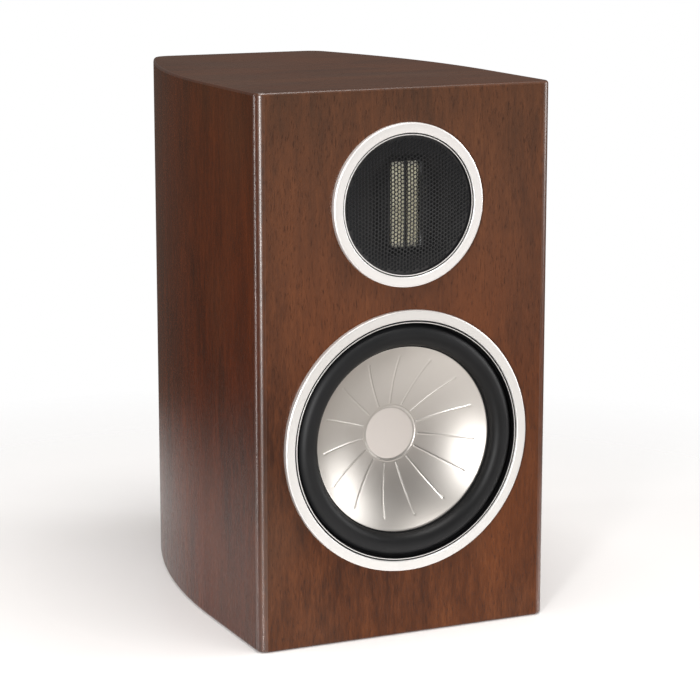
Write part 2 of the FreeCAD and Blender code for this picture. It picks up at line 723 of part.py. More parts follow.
def rear_fittings():
    studs, collars, nuts = [], [], []
    for x, z in POSTS.values():
        rod_part = rod(STUD_RADIUS, REAR - 12, STUD_END, x, z)
        flange = hexagon(13.0, PLATE_FACE + 3.0, FLANGE_FACE, x, z)
        socket = rod(SOCKET_RADIUS, STUD_END - SOCKET_DEPTH, STUD_END + 1, x, z)
        studs.append(fused([rod_part, flange]).cut(socket))
        collars.append(tube(9.0, STUD_RADIUS + 0.1, PLATE_FACE, PLATE_FACE + 3.0, x, z))
        nuts.append(hexagon(10.0, REAR - 7, REAR - 2, x, z).cut(rod(STUD_RADIUS + 0.02, 0, 2 * REAR, x, z)))
    parts = {
        "reflex_port": reflex_port(),
        "terminal_panel": terminal_panel(),
        "terminal_screws": Part.makeCompound(
            [countersunk_screw(x, z, PLATE_FACE, 15.0) for x, z in terminal_screw_places()]
        ),
        "binding_post_studs": Part.makeCompound(studs),
        "post_insulators": Part.makeCompound(collars),
        "post_nuts": Part.makeCompound(nuts),
        "link_plate_positive": link_plate(1),
        "link_plate_negative": link_plate(-1),
    }
    for name, (x, z) in POSTS.items():
        parts["knob_" + name] = knob(x, z)
        parts["clamp_washer_" + name] = tube(7.5, STUD_RADIUS + 0.1, LINK_FACE, KNOB_FACE - 0.1, x, z)
    return parts


# ---- crossover ----
def crossover():
    board_x, board_y = 42.0, (88.0, 178.0)
    under, over = WALL + 8.0, WALL + 9.6
    board = box((-board_x, board_x), board_y, (under, over))
    feet = [(x, y) for x in (-37.0, 37.0) for y in (board_y[0] + 6, board_y[1] - 6)]
    board = cut_all(board, [post(1.8, under - 1, over + 1, x, y) for x, y in feet])
    fasteners = []
    for x, y in feet:
        spacer = post(3.5, WALL, under, x, y)
        screw = post(1.6, under, over, x, y).fuse(post(3.0, over, over + 2, x, y))
        fasteners.append(fused([spacer, screw]))

    def coil(x, y, outer, inner, tall):
        return post(outer, over, over + tall, x, y).cut(post(inner, over - 1, over + tall + 1, x, y))

    def film(x, y, radius, length):
        return Part.makeCylinder(radius, length, Vector(x, y, over + radius), Vector(1, 0, 0))

    return {
        "crossover_board": board,
        "board_fasteners": Part.makeCompound(fasteners),
        "inductors": Part.makeCompound([coil(-20, 112, 17, 8, 18), coil(20, 110, 13, 6, 14)]),
        "film_capacitors": Part.makeCompound([film(-36, 143, 8, 32), film(2, 143, 7, 28), film(-30, 163, 6, 24)]),
        "power_resistors": Part.makeCompound(
            [box((2, 34), (154, 162), (over, over + 9)), box((2, 34), (165, 173), (over, over + 9))]
        ),
    }


def wiring():
    """Leads held between the crossover board, the drivers and the binding posts."""
    top = WALL + 9.6
    cup_tab = 56.0            # rear ends of the tweeter's tabs
    woofer_tab = 46.4         # rear face of the woofer's tabs
    woofer_leads = []
    tweeter_leads = []
    input_leads = []
    for side in (-1, 1):
        spread = 4.5 * side
        woofer_leads.append(
            lead(
                [
                    (36.0, 104.0 + spread, top),
                    (36.0, 104.0 + spread, top + 14.0),
                    (41.0, 92.0 + 0.6 * spread, 62.0),
                    (48.5, 77.0, 82.0 + spread),
                    (51.0, 67.0, 99.0 + spread),
                    (51.0, 57.0, WOOFER_Z + spread),
                    (51.0, woofer_tab, WOOFER_Z + spread),
                ],
                1.8,
            )
        )
        tweeter_leads.append(
            lead(
                [
                    (-37.0, 155.0 + spread, top),
                    (-37.0, 155.0 + spread, 48.0),
                    (-38.5, 148.0 + spread, 84.0),
                    (-37.0, 133.0 + spread, 118.0),
                    (-33.0, 115.0 + spread, 154.0),
                    (-26.0 + 0.5 * spread, 92.0 + 0.5 * spread, 190.0),
                    (-13.0 + spread, 78.0, 219.0),
                    (1.5 * spread, 67.0, TWEETER_Z),
                    (1.5 * spread, cup_tab, TWEETER_Z),
                ],
                1.6,
            )
        )
        for z in (TERMINAL_Z - POST_Z, TERMINAL_Z + POST_Z):
            upper = z > TERMINAL_Z
            x_board = side * (26.0 if upper else 14.0)
            dip = z - 22.0 if upper else z - 3.0
            input_leads.append(
                lead(
                    [
                        (side * POST_X, REAR - 12, z),
                        (side * POST_X, REAR - 24, z),
                        (0.5 * side * POST_X + 0.5 * x_board, REAR - 42, dip),
                        (x_board, REAR - 65, top + 11.0),
                        (x_board, REAR - 65, top),
                    ],
                    2.0,
                )
            )
    return {
        "woofer_leads": Part.makeCompound(woofer_leads),
        "tweeter_leads": Part.makeCompound(tweeter_leads),
        "input_leads": Part.makeCompound(input_leads),
    }


def main():
    parts = {}
    for group in (cabinet, tweeter, woofer, rear_fittings, crossover, wiring):
        parts.update(group())
    os.makedirs("parts", exist_ok=True)
    for name, shape in parts.items():
        shape.translate(Vector(0, ORIGIN_SHIFT, 0))
        shape.exportStep(os.path.join("parts", name + ".step"))
        print(f"{name}: solids {len(shape.Solids)}, volume {shape.Volume / 1000:.2f} cm3, valid {shape.isValid()}")
    print(len(parts), "nodes")


main()
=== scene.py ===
"""A compact two-way bookshelf loudspeaker in a dark walnut cabinet, on a pale studio floor.

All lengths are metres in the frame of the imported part: +Z up, the drivers look along -Y.
"""
import math

import bpy
import numpy as np
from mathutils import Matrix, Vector


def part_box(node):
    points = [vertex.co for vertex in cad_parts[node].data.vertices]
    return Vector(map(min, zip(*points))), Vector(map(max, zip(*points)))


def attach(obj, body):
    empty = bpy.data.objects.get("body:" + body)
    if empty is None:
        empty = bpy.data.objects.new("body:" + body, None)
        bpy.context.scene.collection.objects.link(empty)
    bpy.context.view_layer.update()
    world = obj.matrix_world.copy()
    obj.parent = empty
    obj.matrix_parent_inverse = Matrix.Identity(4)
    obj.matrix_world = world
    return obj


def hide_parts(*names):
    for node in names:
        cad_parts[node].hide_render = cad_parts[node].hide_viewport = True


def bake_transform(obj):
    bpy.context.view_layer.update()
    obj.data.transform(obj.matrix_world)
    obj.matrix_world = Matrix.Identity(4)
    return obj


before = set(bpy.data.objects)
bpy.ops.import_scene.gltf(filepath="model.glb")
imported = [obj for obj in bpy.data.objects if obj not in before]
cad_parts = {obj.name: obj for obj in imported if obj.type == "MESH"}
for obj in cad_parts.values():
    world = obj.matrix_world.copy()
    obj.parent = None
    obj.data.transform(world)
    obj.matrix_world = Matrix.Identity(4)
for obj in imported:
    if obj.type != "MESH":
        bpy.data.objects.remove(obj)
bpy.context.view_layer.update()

MM = 0.001


# ----------------------------------------------------------
# Cabinet.  Six boards of fibreboard, glued edge to edge and wrapped in dark walnut veneer: the grain runs
# upright round the front and the sides, and across on the top.  The lacquer is satin, the edges are eased.
def mesh_object(name, points, faces, material, sharp=35.0, attributes=None):
    """One object from (n, 3) points and a list of faces, smooth except at edges over `sharp` degrees."""
    mesh = bpy.data.meshes.new(name)
    mesh.from_pydata(np.asarray(points, float), [], [tuple(map(int, f)) for f in faces])
    for key, values in (attributes or {}).items():
        mesh.attributes.new(key, "FLOAT", "POINT").data.foreach_set("value", np.asarray(values, np.float32))
    mesh.validate()
    mesh.set_sharp_from_angle(angle=math.radians(sharp))
    mesh.materials.append(material)
    piece = bpy.data.objects.new(name, mesh)
    bpy.context.scene.collection.objects.link(piece)
    return piece


def quads(rows, columns, wrap_rows=False, wrap_columns=False):
    """Faces of a grid of points kept row by row; a wrapped direction joins its last line to its first."""
    r = np.arange(rows if wrap_rows else rows - 1)[:, None]
    c = np.arange(columns if wrap_columns else columns - 1)[None, :]
    r1, c1 = (r + 1) % rows, (c + 1) % columns
    corners = np.stack([r * columns + c, r * columns + c1, r1 * columns + c1, r1 * columns + c], -1)
    return corners.reshape(-1, 4).tolist()


def tube_faces(rows, columns, inside_out=False):
    """Faces of a tube of rings kept row by row, closed at both ends."""
    faces = quads(rows, columns, wrap_columns=True)
    faces += [list(range(columns))[::-1], [(rows - 1) * columns + k for k in range(columns)]]
    return [face[::-1] for face in faces] if inside_out else faces


def full_turn(count):
    return np.linspace(0, 2 * math.pi, count, endpoint=False)


def placed(piece, body, slot, *nodes):
    """The piece rides on a body and stands for the CAD nodes named, which are hidden; `slot` is not used."""
    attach(piece, body)
    if nodes:
        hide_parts(*nodes)


class Sock:
    """A shader socket with the operators that its maths needs; each operator adds one Math node."""

    def __init__(self, graph, socket):
        self.graph, self.socket = graph, socket

    def maths(self, operation, *values):
        return self.graph.node("ShaderNodeMath", {"operation": operation}, dict(enumerate(values)))

    def __add__(self, other):
        return self.maths("ADD", self, other)

    def __sub__(self, other):
        return self.maths("SUBTRACT", self, other)

    def __rsub__(self, other):
        return self.maths("SUBTRACT", other, self)

    def __mul__(self, other):
        return self.maths("MULTIPLY", self, other)

    __radd__, __rmul__ = __add__, __mul__

    def size(self):
        return self.maths("ABSOLUTE", self)

    def clamp(self):
        return self.maths("MINIMUM", self.maths("MAXIMUM", self, 0.0), 1.0)


class Graph:
    """A node tree: `node` adds any node, and the methods after it add the ones that finishes share."""

    def __init__(self, tree):
        self.nodes, self.links = tree.nodes, tree.links
        self.nodes.clear()

    def node(self, kind, settings=None, inputs=None, output=0):
        """Adds a node, makes its settings, feeds its sockets, and gives back one of its outputs."""
        made = self.nodes.new(kind)
        for key, value in (settings or {}).items():
            if key == "stops":
                ramp = made.color_ramp.elements
                while len(ramp) < len(value):
                    ramp.new(0.5)
                for stop, (place, colour) in zip(ramp, value):
                    stop.position = place
                    stop.color = (*colour, 1.0)
            else:
                setattr(made, key, value)
        for key, value in (inputs or {}).items():
            if isinstance(value, Sock):
                self.links.new(value.socket, made.inputs[key])
            else:
                made.inputs[key].default_value = value
        return Sock(self, made.outputs[output]) if made.outputs else None

    def place(self, scale=(1.0, 1.0, 1.0), turn=(0.0, 0.0, 0.0), shift=(0.0, 0.0, 0.0)):
        """The point on the piece in metres, shifted, turned and scaled for a pattern."""
        here = self.node("ShaderNodeTexCoord", output=3)
        inputs = {"Vector": here, "Location": shift, "Rotation": turn, "Scale": scale}
        return self.node("ShaderNodeMapping", {}, inputs)

    def part(self, vector, axis):
        return self.node("ShaderNodeSeparateXYZ", {}, {0: vector}, output=axis)

    def noise(self, scale, where, detail=3.0, rough=0.5, distortion=0.0):
        inputs = {"Scale": scale, "Detail": detail, "Roughness": rough, "Distortion": distortion}
        return self.node("ShaderNodeTexNoise", {}, {"Vector": where, **inputs})

    def wave(self, scale, direction, where):
        settings = {"bands_direction": direction}
        return self.node("ShaderNodeTexWave", settings, {"Vector": where, "Scale": scale})

    def ramp(self, value, stops):
        return self.node("ShaderNodeValToRGB", {"stops": stops}, {"Fac": value})

    def blend(self, mask, low, high, mode="MIX"):
        """Colour `low` where the mask is 0 and `high` where it is 1."""
        low = (*low, 1.0) if isinstance(low, tuple) else low
        high = (*high, 1.0) if isinstance(high, tuple) else high
        settings = {"data_type": "RGBA", "blend_type": mode}
        return self.node("ShaderNodeMix", settings, {0: mask, 6: low, 7: high}, output=2)

    def bump(self, height, strength, depth):
        return self.node("ShaderNodeBump", {}, {"Strength": strength, "Distance": depth, "Height": height})


class Finish(Graph):
    """One material, which `surface` closes with a Principled shader."""

    def __init__(self, name):
        self.material = bpy.data.materials.new(name)
        self.material.use_nodes = True
        super().__init__(self.material.node_tree)

    def surface(self, **sockets):
        """The Principled shader with these sockets, such as Base_Color=..., and the material it closes."""
        named = {key.replace("_", " "): value for key, value in sockets.items()}
        named = {key: (*v, 1.0) if isinstance(v, tuple) and len(v) == 3 else v for key, v in named.items()}
        shader = self.node("ShaderNodeBsdfPrincipled", {}, named)
        self.node("ShaderNodeOutputMaterial", {}, {"Surface": shader})
        return self.material


cabinet_low, cabinet_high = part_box("bottom_panel")
front_low, front_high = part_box("front_baffle")
rear_low, rear_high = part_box("rear_panel")
cabinet_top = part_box("top_panel")[1].z
floor_of_cavity = front_low.z
roof_of_cavity = front_high.z
front_y = cabinet_low.y
rear_y = cabinet_high.y
half_width = cabinet_high.x
baffle_back = front_high.y
wall = 15 * MM
straight = 76 * MM              # the sides run straight this far back
bow = 412 * MM                  # radius of the curved part of the sides
front_round = 5 * MM
rear_round = 13 * MM
eased = 1.8 * MM                # rounding of the top and bottom edges
support = 0.4 * MM              # narrow strips that keep flat faces flat beside a rounding


def rubbed_edges(f):
    """1 on the upright front corners and the top edge, where the lacquer is rubbed brighter, and 0 elsewhere.

    The corner is where both x and y lie within the rounding; the top edge is where z lies within its own."""
    here = f.place()
    across, back, up = (f.part(here, axis) for axis in range(3))
    rise, quick_rise = 4000.0, 20000.0      # how fast a mask goes from 0 to 1, per metre
    near_side = ((across.size() - (half_width - front_round)) * rise).clamp()
    near_front = (((front_y + front_round) - back) * rise).clamp()
    near_top = ((up - (cabinet_top - eased)) * rise).clamp()
    near_top = near_top * (((cabinet_top - 0.1 * MM) - up) * quick_rise).clamp()
    return (near_side * near_front + near_top).clamp()


def walnut_material():
    """Dark walnut under satin lacquer: broad soft figure, fine pores along the grain, slow drifts of colour, a
    painted haze of reflected light towards the top, and painted shade on the sides.
    """
    f = Finish("walnut_veneer")
    lid = f.node("ShaderNodeAttribute", {"attribute_name": "lid"}, output=2)
    upright = f.place(scale=(1.0, 1.0, 0.17))
    across = f.place(scale=(0.17, 1.0, 1.0), shift=(0.31, 0.17, 0.0))
    grain_place = f.node("ShaderNodeMix", {"data_type": "VECTOR"}, {0: lid, 4: upright, 5: across}, output=1)
    figure = f.noise(34.0, grain_place, 4.0, 0.55, 1.1)
    streak = f.noise(230.0, grain_place, 3.0, 0.6)
    fibre = f.noise(620.0, grain_place, 2.0, 0.6)
    pores = f.noise(1500.0, grain_place, 2.0, 0.5)
    drift = f.noise(6.0, f.place(shift=(0.05, 0.02, 0.11)), 2.0, 0.5)
    blush = f.noise(13.0, f.place(scale=(1.0, 1.0, 0.45), shift=(0.4, 0.1, 0.2)), 2.0, 0.5)
    shade = f.noise(10.0, f.place(scale=(1.0, 1.0, 0.6), shift=(0.17, 0.3, 0.05)), 2.0, 0.5)
    tone = (figure * 0.46 + streak * 0.28 + fibre * 0.30 + drift * 0.40 - 0.22).clamp()
    walnut_stops = [
        (0.36, (0.040, 0.0120, 0.0042)),
        (0.48, (0.080, 0.0235, 0.0074)),
        (0.58, (0.116, 0.0350, 0.0108)),
        (0.72, (0.172, 0.0590, 0.0185)),
    ]
    wood = f.ramp(tone, walnut_stops)
    wood = f.blend(((blush - 0.48) * 4.0).clamp() * 0.50, wood, (0.165, 0.0440, 0.0100))
    # Painted reflection: the wood turns paler and greyer towards the top, standing in for reflected haze.
    # Below, this joins the greyer patches, whose tone varies at random.
    painted_top_haze = ((f.part(f.place(), 2) - 0.14) * 6.0).clamp() * 0.42
    wood = f.blend((((shade - 0.50) * 4.0).clamp() * 0.50 + painted_top_haze).clamp(), wood, (0.090, 0.0560, 0.0385))
    wood = f.blend(lid * 0.35, wood, (0.062, 0.034, 0.027))
    # Painted shade: faces turned to either side, and the front corners between them, are darkened and reddened
    # where the sides turn from the light.
    sideways = f.part(f.node("ShaderNodeNewGeometry", output=1), 0).size()
    wood = f.blend(((sideways - 0.55) * 4.0).clamp(), wood, (0.66, 0.42, 0.26), "MULTIPLY")
    pore_mask = ((pores - 0.58) * 9.0).clamp()
    wood = f.blend(pore_mask * 0.55, wood, (0.020, 0.008, 0.005))
    relief = streak * 0.5 - pore_mask * 0.7
    return f.surface(
        Base_Color=wood,
        Roughness=0.23 + streak * 0.08 + pore_mask * 0.12,
        Normal=f.bump(relief, 0.12, 0.0004),
        Specular_IOR_Level=0.14,
        Coat_Weight=0.08 + rubbed_edges(f) * 0.92,
        Coat_Roughness=0.30,
        Coat_IOR=1.6,
        IOR=1.5,
    )


walnut = walnut_material()


def arc_points(cx, cy, radius, start, end, count):
    """Points and outward normals round part of a circle, from one angle to another."""
    a = np.linspace(start, end, count)
    normal = np.stack([np.cos(a), np.sin(a)], 1)
    return np.array([cx, cy]) + radius * normal, normal


def line_points(a, b, normal, inner=()):
    """The ends of a straight stretch, a support point beside each, and any shares of its length in `inner`."""
    a, b = np.asarray(a, float), np.asarray(b, float)
    near = support / np.linalg.norm(b - a)
    shares = np.array([near, *inner, 1 - near])[:, None]
    points = a + (b - a) * shares
    return points, np.tile(normal, (len(points), 1))


def plan_side():
    """The right half of the outer plan from the front to the rear: corner, flank, long bow, rear corner."""
    bow_x = half_width - bow
    bow_y = front_y + straight
    corner_y = rear_y - rear_round
    corner_x = bow_x + math.sqrt((bow - rear_round) ** 2 - (corner_y - bow_y) ** 2)
    sweep = math.atan2(corner_y - bow_y, corner_x - bow_x)
    corner = arc_points(half_width - front_round, front_y + front_round, front_round, -math.pi / 2, 0, 13)
    flank = line_points((half_width, front_y + front_round), (half_width, bow_y), (1.0, 0.0), (0.25, 0.5, 0.75))
    curve = arc_points(bow_x, bow_y, bow, 0, sweep, 41)
    rear_corner = arc_points(corner_x, corner_y, rear_round, sweep, math.pi / 2, 15)
    rear_corner = tuple(a[1:] for a in rear_corner)
    points = np.concatenate([s[0] for s in (corner, flank, curve, rear_corner)])
    normals = np.concatenate([s[1] for s in (corner, flank, curve, rear_corner)])
    return points, normals


side_points, side_normals = plan_side()
mirror = np.array([-1.0, 1.0])
front_strip = line_points(side_points[0] * mirror, side_points[0], (0.0, -1.0))
rear_strip = line_points(side_points[-1], side_points[-1] * mirror, (0.0, 1.0))
plan = np.concatenate([front_strip[0], side_points, rear_strip[0], side_points[::-1] * mirror])
plan_normals = np.concatenate([front_strip[1], side_normals, rear_strip[1], side_normals[::-1] * mirror])


def board(name, node, outline_rings, heights, on_face, inside_out=False):
    """A closed board of walnut from its rings of plan points and the height of each ring."""
    rows, columns = outline_rings.shape[:2]
    points = np.dstack([outline_rings, np.broadcast_to(heights[:, None], (rows, columns))]).reshape(-1, 3)
    attributes = {"lid": np.repeat(on_face, columns)}
    piece = mesh_object(name, points, tube_faces(rows, columns, inside_out), walnut, attributes=attributes)
    placed(piece, "cabinet", "walnut_veneer", node)


def lid_panel(name, node, joint_z, face_z):
    """A top or bottom board: the plan raised from the joint, its far edge a quarter round, closed by flat caps.

    A point is the plan's point moved inwards by eased * (1 - cos a) and along z by eased * sin a."""
    way = 1 if face_z > joint_z else -1
    turn = np.linspace(0, math.pi / 2, 8)
    inset = np.concatenate([[0, 0], eased * (1 - np.cos(turn)), [eased + support]])
    quarter_round = face_z - way * eased * (1 - np.sin(turn))
    height = np.concatenate([[joint_z, face_z - way * (eased + support)], quarter_round, [face_z]])
    rings = plan[None] - inset[:, None, None] * plan_normals[None]
    board(name, node, rings, height, inset > 0.3 * eased, way < 0)


lid_panel("top_board", "top_panel", roof_of_cavity, cabinet_top)
lid_panel("bottom_board", "bottom_panel", floor_of_cavity, 0.0)


def side_board(name, node, sign):
    """One bowed side: the outer plan behind the baffle, closed along the parallel inner face."""
    joint_x = rear_high.x
    outer = side_points[side_points[:, 1] > baffle_back]
    outer = np.concatenate([[[half_width, baffle_back]], outer, [[joint_x, rear_y]]])
    bow_y = front_y + straight
    end = math.asin((rear_low.y - bow_y) / (bow - wall))
    inner = arc_points(half_width - bow, bow_y, bow - wall, end, 0, 30)[0]
    loop = np.concatenate([outer, [[joint_x, rear_low.y]], inner[1:], [[half_width - wall, baffle_back]]])
    if sign < 0:
        loop = (loop * mirror)[::-1]
    rings = np.broadcast_to(loop[None], (2, *loop.shape))
    board(name, node, rings, np.array([floor_of_cavity, roof_of_cavity]), [0.0, 0.0])


side_board("right_side_board", "right_side_panel", 1)
side_board("left_side_board", "left_side_panel", -1)


# ----------------------------------------------------------
# Front baffle.  One 20 mm board with a stepped round seat cut for each driver, veneered with the sides so
# that the grain runs on over both front corners.
woofer_z = sum(corner.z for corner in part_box("woofer_trim_ring")) / 2
tweeter_z = sum(corner.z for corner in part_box("tweeter_trim_ring")) / 2
blocks_meet = 186 * MM          # the face is laid out as two blocks, one round each driver
woofer_seat = [(71.2, 0), (71.2, 8.0), (67.2, 8.0), (67.2, 14.0), (69.5, 20)]
tweeter_seat = [(42.7, 0), (42.7, 6.0), (36.8, 6.0), (36.8, 20)]
crowded = (1 - np.cos(np.linspace(0, math.pi, 25))) / 2     # shares of a length, crowded at both ends
corner_turn = side_points[side_points[:, 1] <= front_y + front_round + 1e-9]
half_front = half_width - front_round - support

def weld(points, faces, grain=1e-7):
    """Joins points that lie in one place; faces keep their order."""
    keys = np.round(np.asarray(points) / grain).astype(np.int64)
    found, first, back = np.unique(keys, axis=0, return_index=True, return_inverse=True)
    back = back.reshape(-1)
    joined = []
    for face in faces:
        face = [int(back[i]) for i in face]
        joined.append([i for k, i in enumerate(face) if i != face[k - 1]])
    return np.asarray(points)[first], [f for f in joined if len(f) > 2]


def gather(parts):
    """One list of points and one of faces from several (points, faces) pairs."""
    points, faces, count = [], [], 0
    for more, their_faces in parts:
        points.append(np.asarray(more, float).reshape(-1, 3))
        faces += [[i + count for i in face] for face in their_faces]
        count += len(points[-1])
    return np.concatenate(points), faces


def frame_points(half, low, high):
    """Points round a rectangle, anticlockwise seen from the front."""
    x = half * (2 * crowded - 1)
    z = low + (high - low) * crowded
    return np.concatenate([
        np.stack([x, np.full(len(x), low)], 1)[:-1],
        np.stack([np.full(len(z), half), z], 1)[:-1],
        np.stack([x[::-1], np.full(len(x), high)], 1)[:-1],
        np.stack([np.full(len(z), -half), z[::-1]], 1)[:-1],
    ])


def driver_block(low, high, centre_z, seat):
    """The face round one driver: rectangle, the seat's steps round a circle, and a rectangle at the back."""
    front, back = frame_points(half_front, low, high), frame_points(half_width, low, high)
    angle = np.arctan2(front[:, 1] - centre_z, front[:, 0])
    loops = [(front[:, 0], front_y, front[:, 1])]
    for radius, depth in seat:
        reach = radius * MM
        loops.append((reach * np.cos(angle), front_y + depth * MM, centre_z + reach * np.sin(angle)))
    loops.append((back[:, 0], baffle_back, back[:, 1]))
    points = np.stack([np.column_stack([x, np.full(len(x), y), z]) for x, y, z in loops])
    return points, quads(len(loops), len(front), wrap_columns=True)


def baffle_flank(sign, heights):
    """The front corner and the short flank behind it, carried up the board through the given heights."""
    plan_part = np.concatenate([[[half_front, front_y]], corner_turn, [[half_width, baffle_back]]])
    plan_part = plan_part * np.array([sign, 1.0])
    rows = np.broadcast_to(plan_part[None], (len(heights), *plan_part.shape))
    points = np.dstack([rows, np.broadcast_to(heights[:, None], rows.shape[:2])])
    faces = quads(len(heights), len(plan_part))
    return points, faces if sign > 0 else [f[::-1] for f in faces]


def baffle_mesh():
    """Both driver blocks, the two flanks, and the butt faces under the top board and over the bottom one."""
    heights = np.concatenate([
        floor_of_cavity + (blocks_meet - floor_of_cavity) * crowded,
        blocks_meet + (roof_of_cavity - blocks_meet) * crowded[1:],
    ])
    parts = [
        driver_block(floor_of_cavity, blocks_meet, woofer_z, woofer_seat),
        driver_block(blocks_meet, roof_of_cavity, tweeter_z, tweeter_seat),
        baffle_flank(1, heights),
        baffle_flank(-1, heights),
    ]
    right = np.concatenate([corner_turn, [[half_width, baffle_back]]])
    front = np.stack([half_front * (2 * crowded - 1), np.full(len(crowded), front_y)], 1)
    back = np.stack([half_width * (1 - 2 * crowded), np.full(len(crowded), baffle_back)], 1)
    outline = np.concatenate([front, right, back[1:-1], (right * mirror)[::-1]])
    for height, way in ((floor_of_cavity, -1), (roof_of_cavity, 1)):
        cap = np.column_stack([outline, np.full(len(outline), height)])
        parts.append((cap, [list(range(len(cap)))[::way]]))
    return weld(*gather(parts))


baffle_points, baffle_faces = baffle_mesh()
upright_grain = {"lid": np.zeros(len(baffle_points))}
baffle = mesh_object("baffle_board", baffle_points, baffle_faces, walnut, attributes=upright_grain)
placed(baffle, "cabinet", "walnut_veneer", "front_baffle")


# ----------------------------------------------------------
# Tweeter trim ring.  Turned from aluminium and satin anodised: a broad flat band, a fine groove, and a thin
# lip that holds the edge of the grille.  It is glued over the faceplate, on the baffle.
def eased_corners(corners, radius, steps=3):
    """A closed profile with each corner replaced by the quadratic curve between points `radius` either side."""
    corner = np.asarray(corners, float)
    back, ahead = np.roll(corner, 1, 0) - corner, np.roll(corner, -1, 0) - corner
    run_back, run_ahead = np.linalg.norm(back, axis=1), np.linalg.norm(ahead, axis=1)
    reach = np.minimum(radius, 0.45 * np.minimum(run_back, run_ahead))
    first = (corner + back * (reach / run_back)[:, None])[:, None]
    last = (corner + ahead * (reach / run_ahead)[:, None])[:, None]
    t = np.linspace(0, 1, steps + 1)[None, :, None]
    return ((1 - t) ** 2 * first + 2 * t * (1 - t) * corner[:, None] + t**2 * last).reshape(-1, 2)


def turned_mesh(profile, centre_x, centre_z, segments=192):
    """A profile of (radius, depth) in mm turned about an axis along y: x + r cos a, depth, z + r sin a."""
    profile = np.asarray(profile, float)
    r, d = profile.T
    if np.sum(r * np.roll(d, -1) - np.roll(r, -1) * d) > 0:
        r, d = r[::-1], d[::-1]
    a = full_turn(segments)
    points = np.dstack([
        centre_x + MM * r[:, None] * np.cos(a),
        np.broadcast_to(front_y + MM * d[:, None], (len(r), segments)),
        centre_z + MM * r[:, None] * np.sin(a),
    ]).reshape(-1, 3)
    return weld(points, quads(len(r), segments, wrap_rows=True, wrap_columns=True))


def turned(name, profile, centre_x, centre_z, material, segments=192, sharp=35.0):
    return mesh_object(name, *turned_mesh(profile, centre_x, centre_z, segments), material, sharp)


def at_driver(points, centre_z):
    """Points in mm, counted from a driver's centre on the baffle's face, as metres in the part's frame."""
    return points * MM + np.array([0.0, front_y, centre_z])


def axis_distance(f, centre_z):
    """How far a point is from a driver's axis, in metres."""
    flat = {0: f.place(shift=(0.0, 0.0, -centre_z)), 1: (1.0, 0.0, 1.0)}
    flat = f.node("ShaderNodeVectorMath", {"operation": "MULTIPLY"}, flat)
    return f.node("ShaderNodeVectorMath", {"operation": "LENGTH"}, {0: flat}, output=1)


def anodised_material(name, centre_z, bright, dull, painted_shade_lines):
    """Satin anodised aluminium: blasted grain over very fine lathe rings, and painted shade in the groove and
    at the lip.

    A painted line's mask falls off as 1 - (d / w)^2 of the distance d from its radius, sharpened and clamped."""
    f = Finish(name)
    radius = axis_distance(f, centre_z)
    lathe = {"W": radius, "Scale": 5200.0, "Detail": 2.0}
    rings = f.node("ShaderNodeTexNoise", {"noise_dimensions": "1D"}, lathe)
    painted_groove_shade = 0.0
    for middle, reach in painted_shade_lines:
        off = (radius - middle * MM) * (1 / (reach * MM))
        painted_groove_shade = ((1 - off * off) * 2.5).clamp() + painted_groove_shade
    grain = f.noise(5200.0, f.place(), 2.0, 0.5)
    cloud = f.noise(60.0, f.place(), 3.0, 0.5)
    tone = f.blend((rings * 0.4 + cloud * 0.6).clamp(), dull, bright)
    # Painted shade: near black in the groove and along the lip's inner edge, where shade falls.
    tone = f.blend(painted_groove_shade.clamp(), tone, (0.010, 0.010, 0.011))
    return f.surface(
        Base_Color=tone,
        Metallic=0.60,
        Roughness=0.34 + rings * 0.05 + cloud * 0.06 + grain * 0.04,
        Normal=f.bump(grain * 0.6 + rings * 0.4, 0.06, 0.0001),
    )


def node_centre(node):
    low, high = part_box(node)
    return (low + high) / 2


def node_radius(node):
    """Half the width of a round CAD part, in mm."""
    low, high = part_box(node)
    return (high.x - low.x) / 2 / MM


def trim_ring(name, node, centre_z, shift, start, tail, bright, dull, painted_shade_lines, segments):
    """A trim ring.  Its profile of (radius, depth) in mm is lip, groove and band, counted inwards from the CAD
    ring's radius: `shift` moves the lip inwards, `start` is its depth behind, and `tail` closes the line."""
    outer = node_radius(node)
    lip = [(6.9, start), (6.9, -2.1), (6.7, -2.3), (6.1, -2.3), (6.0, -1.3), (5.5, -1.3)]
    band = [(5.4, -2.75), (5.1, -3.0), (0.8, -3.0), (0.2, -2.7), (0.0, -2.1), (0.0, 0.0), *tail]
    profile = [(outer - r - shift, d) for r, d in lip] + [(outer - r, d) for r, d in band]
    painted_shade_radii = [(outer - r, reach) for r, reach in painted_shade_lines]
    silver = anodised_material(name + "_silver", centre_z, bright, dull, painted_shade_radii)
    ring = turned(name, eased_corners(profile, 0.12), 0.0, centre_z, silver, segments, 50.0)
    placed(ring, "cabinet", "satin_silver", node)
    return outer


# Painted light: these tones are lighter than the woofer ring's, though both rings share one finish, so that the
# upper ring looks more brightly lit.
tweeter_ring_radius = trim_ring(
    "tweeter_ring", "tweeter_trim_ring", tweeter_z, 0.0, -0.9, [(6.5, 0.0), (6.5, -0.9)],
    (0.98, 0.97, 0.955), (0.92, 0.91, 0.895), [(5.75, 0.34), (6.95, 0.34)], 256,
)


# ----------------------------------------------------------
# Tweeter grille.  A shallow dome pressed from half-millimetre steel, punched all over with round holes in a
# close staggered pattern and powder coated black.  Its blank margin is caught under the ring's lip.
hole_pitch = 2.15               # mm between holes up the columns
hole_radius = 0.88
grille_dome = tweeter_ring_radius - 8.0
grille_rim = tweeter_ring_radius - 6.7
grille_rise = 1.7
grille_sheet = 0.5


def grille_depth(radius):
    """Depth of the dome's front at a radius: a sphere through the apex and the rim, flat outside the dome."""
    sphere = (grille_dome**2 + grille_rise**2) / (2 * grille_rise)
    inside = np.minimum(radius, grille_dome)
    return -0.8 - grille_rise + sphere - np.sqrt(sphere**2 - inside**2)


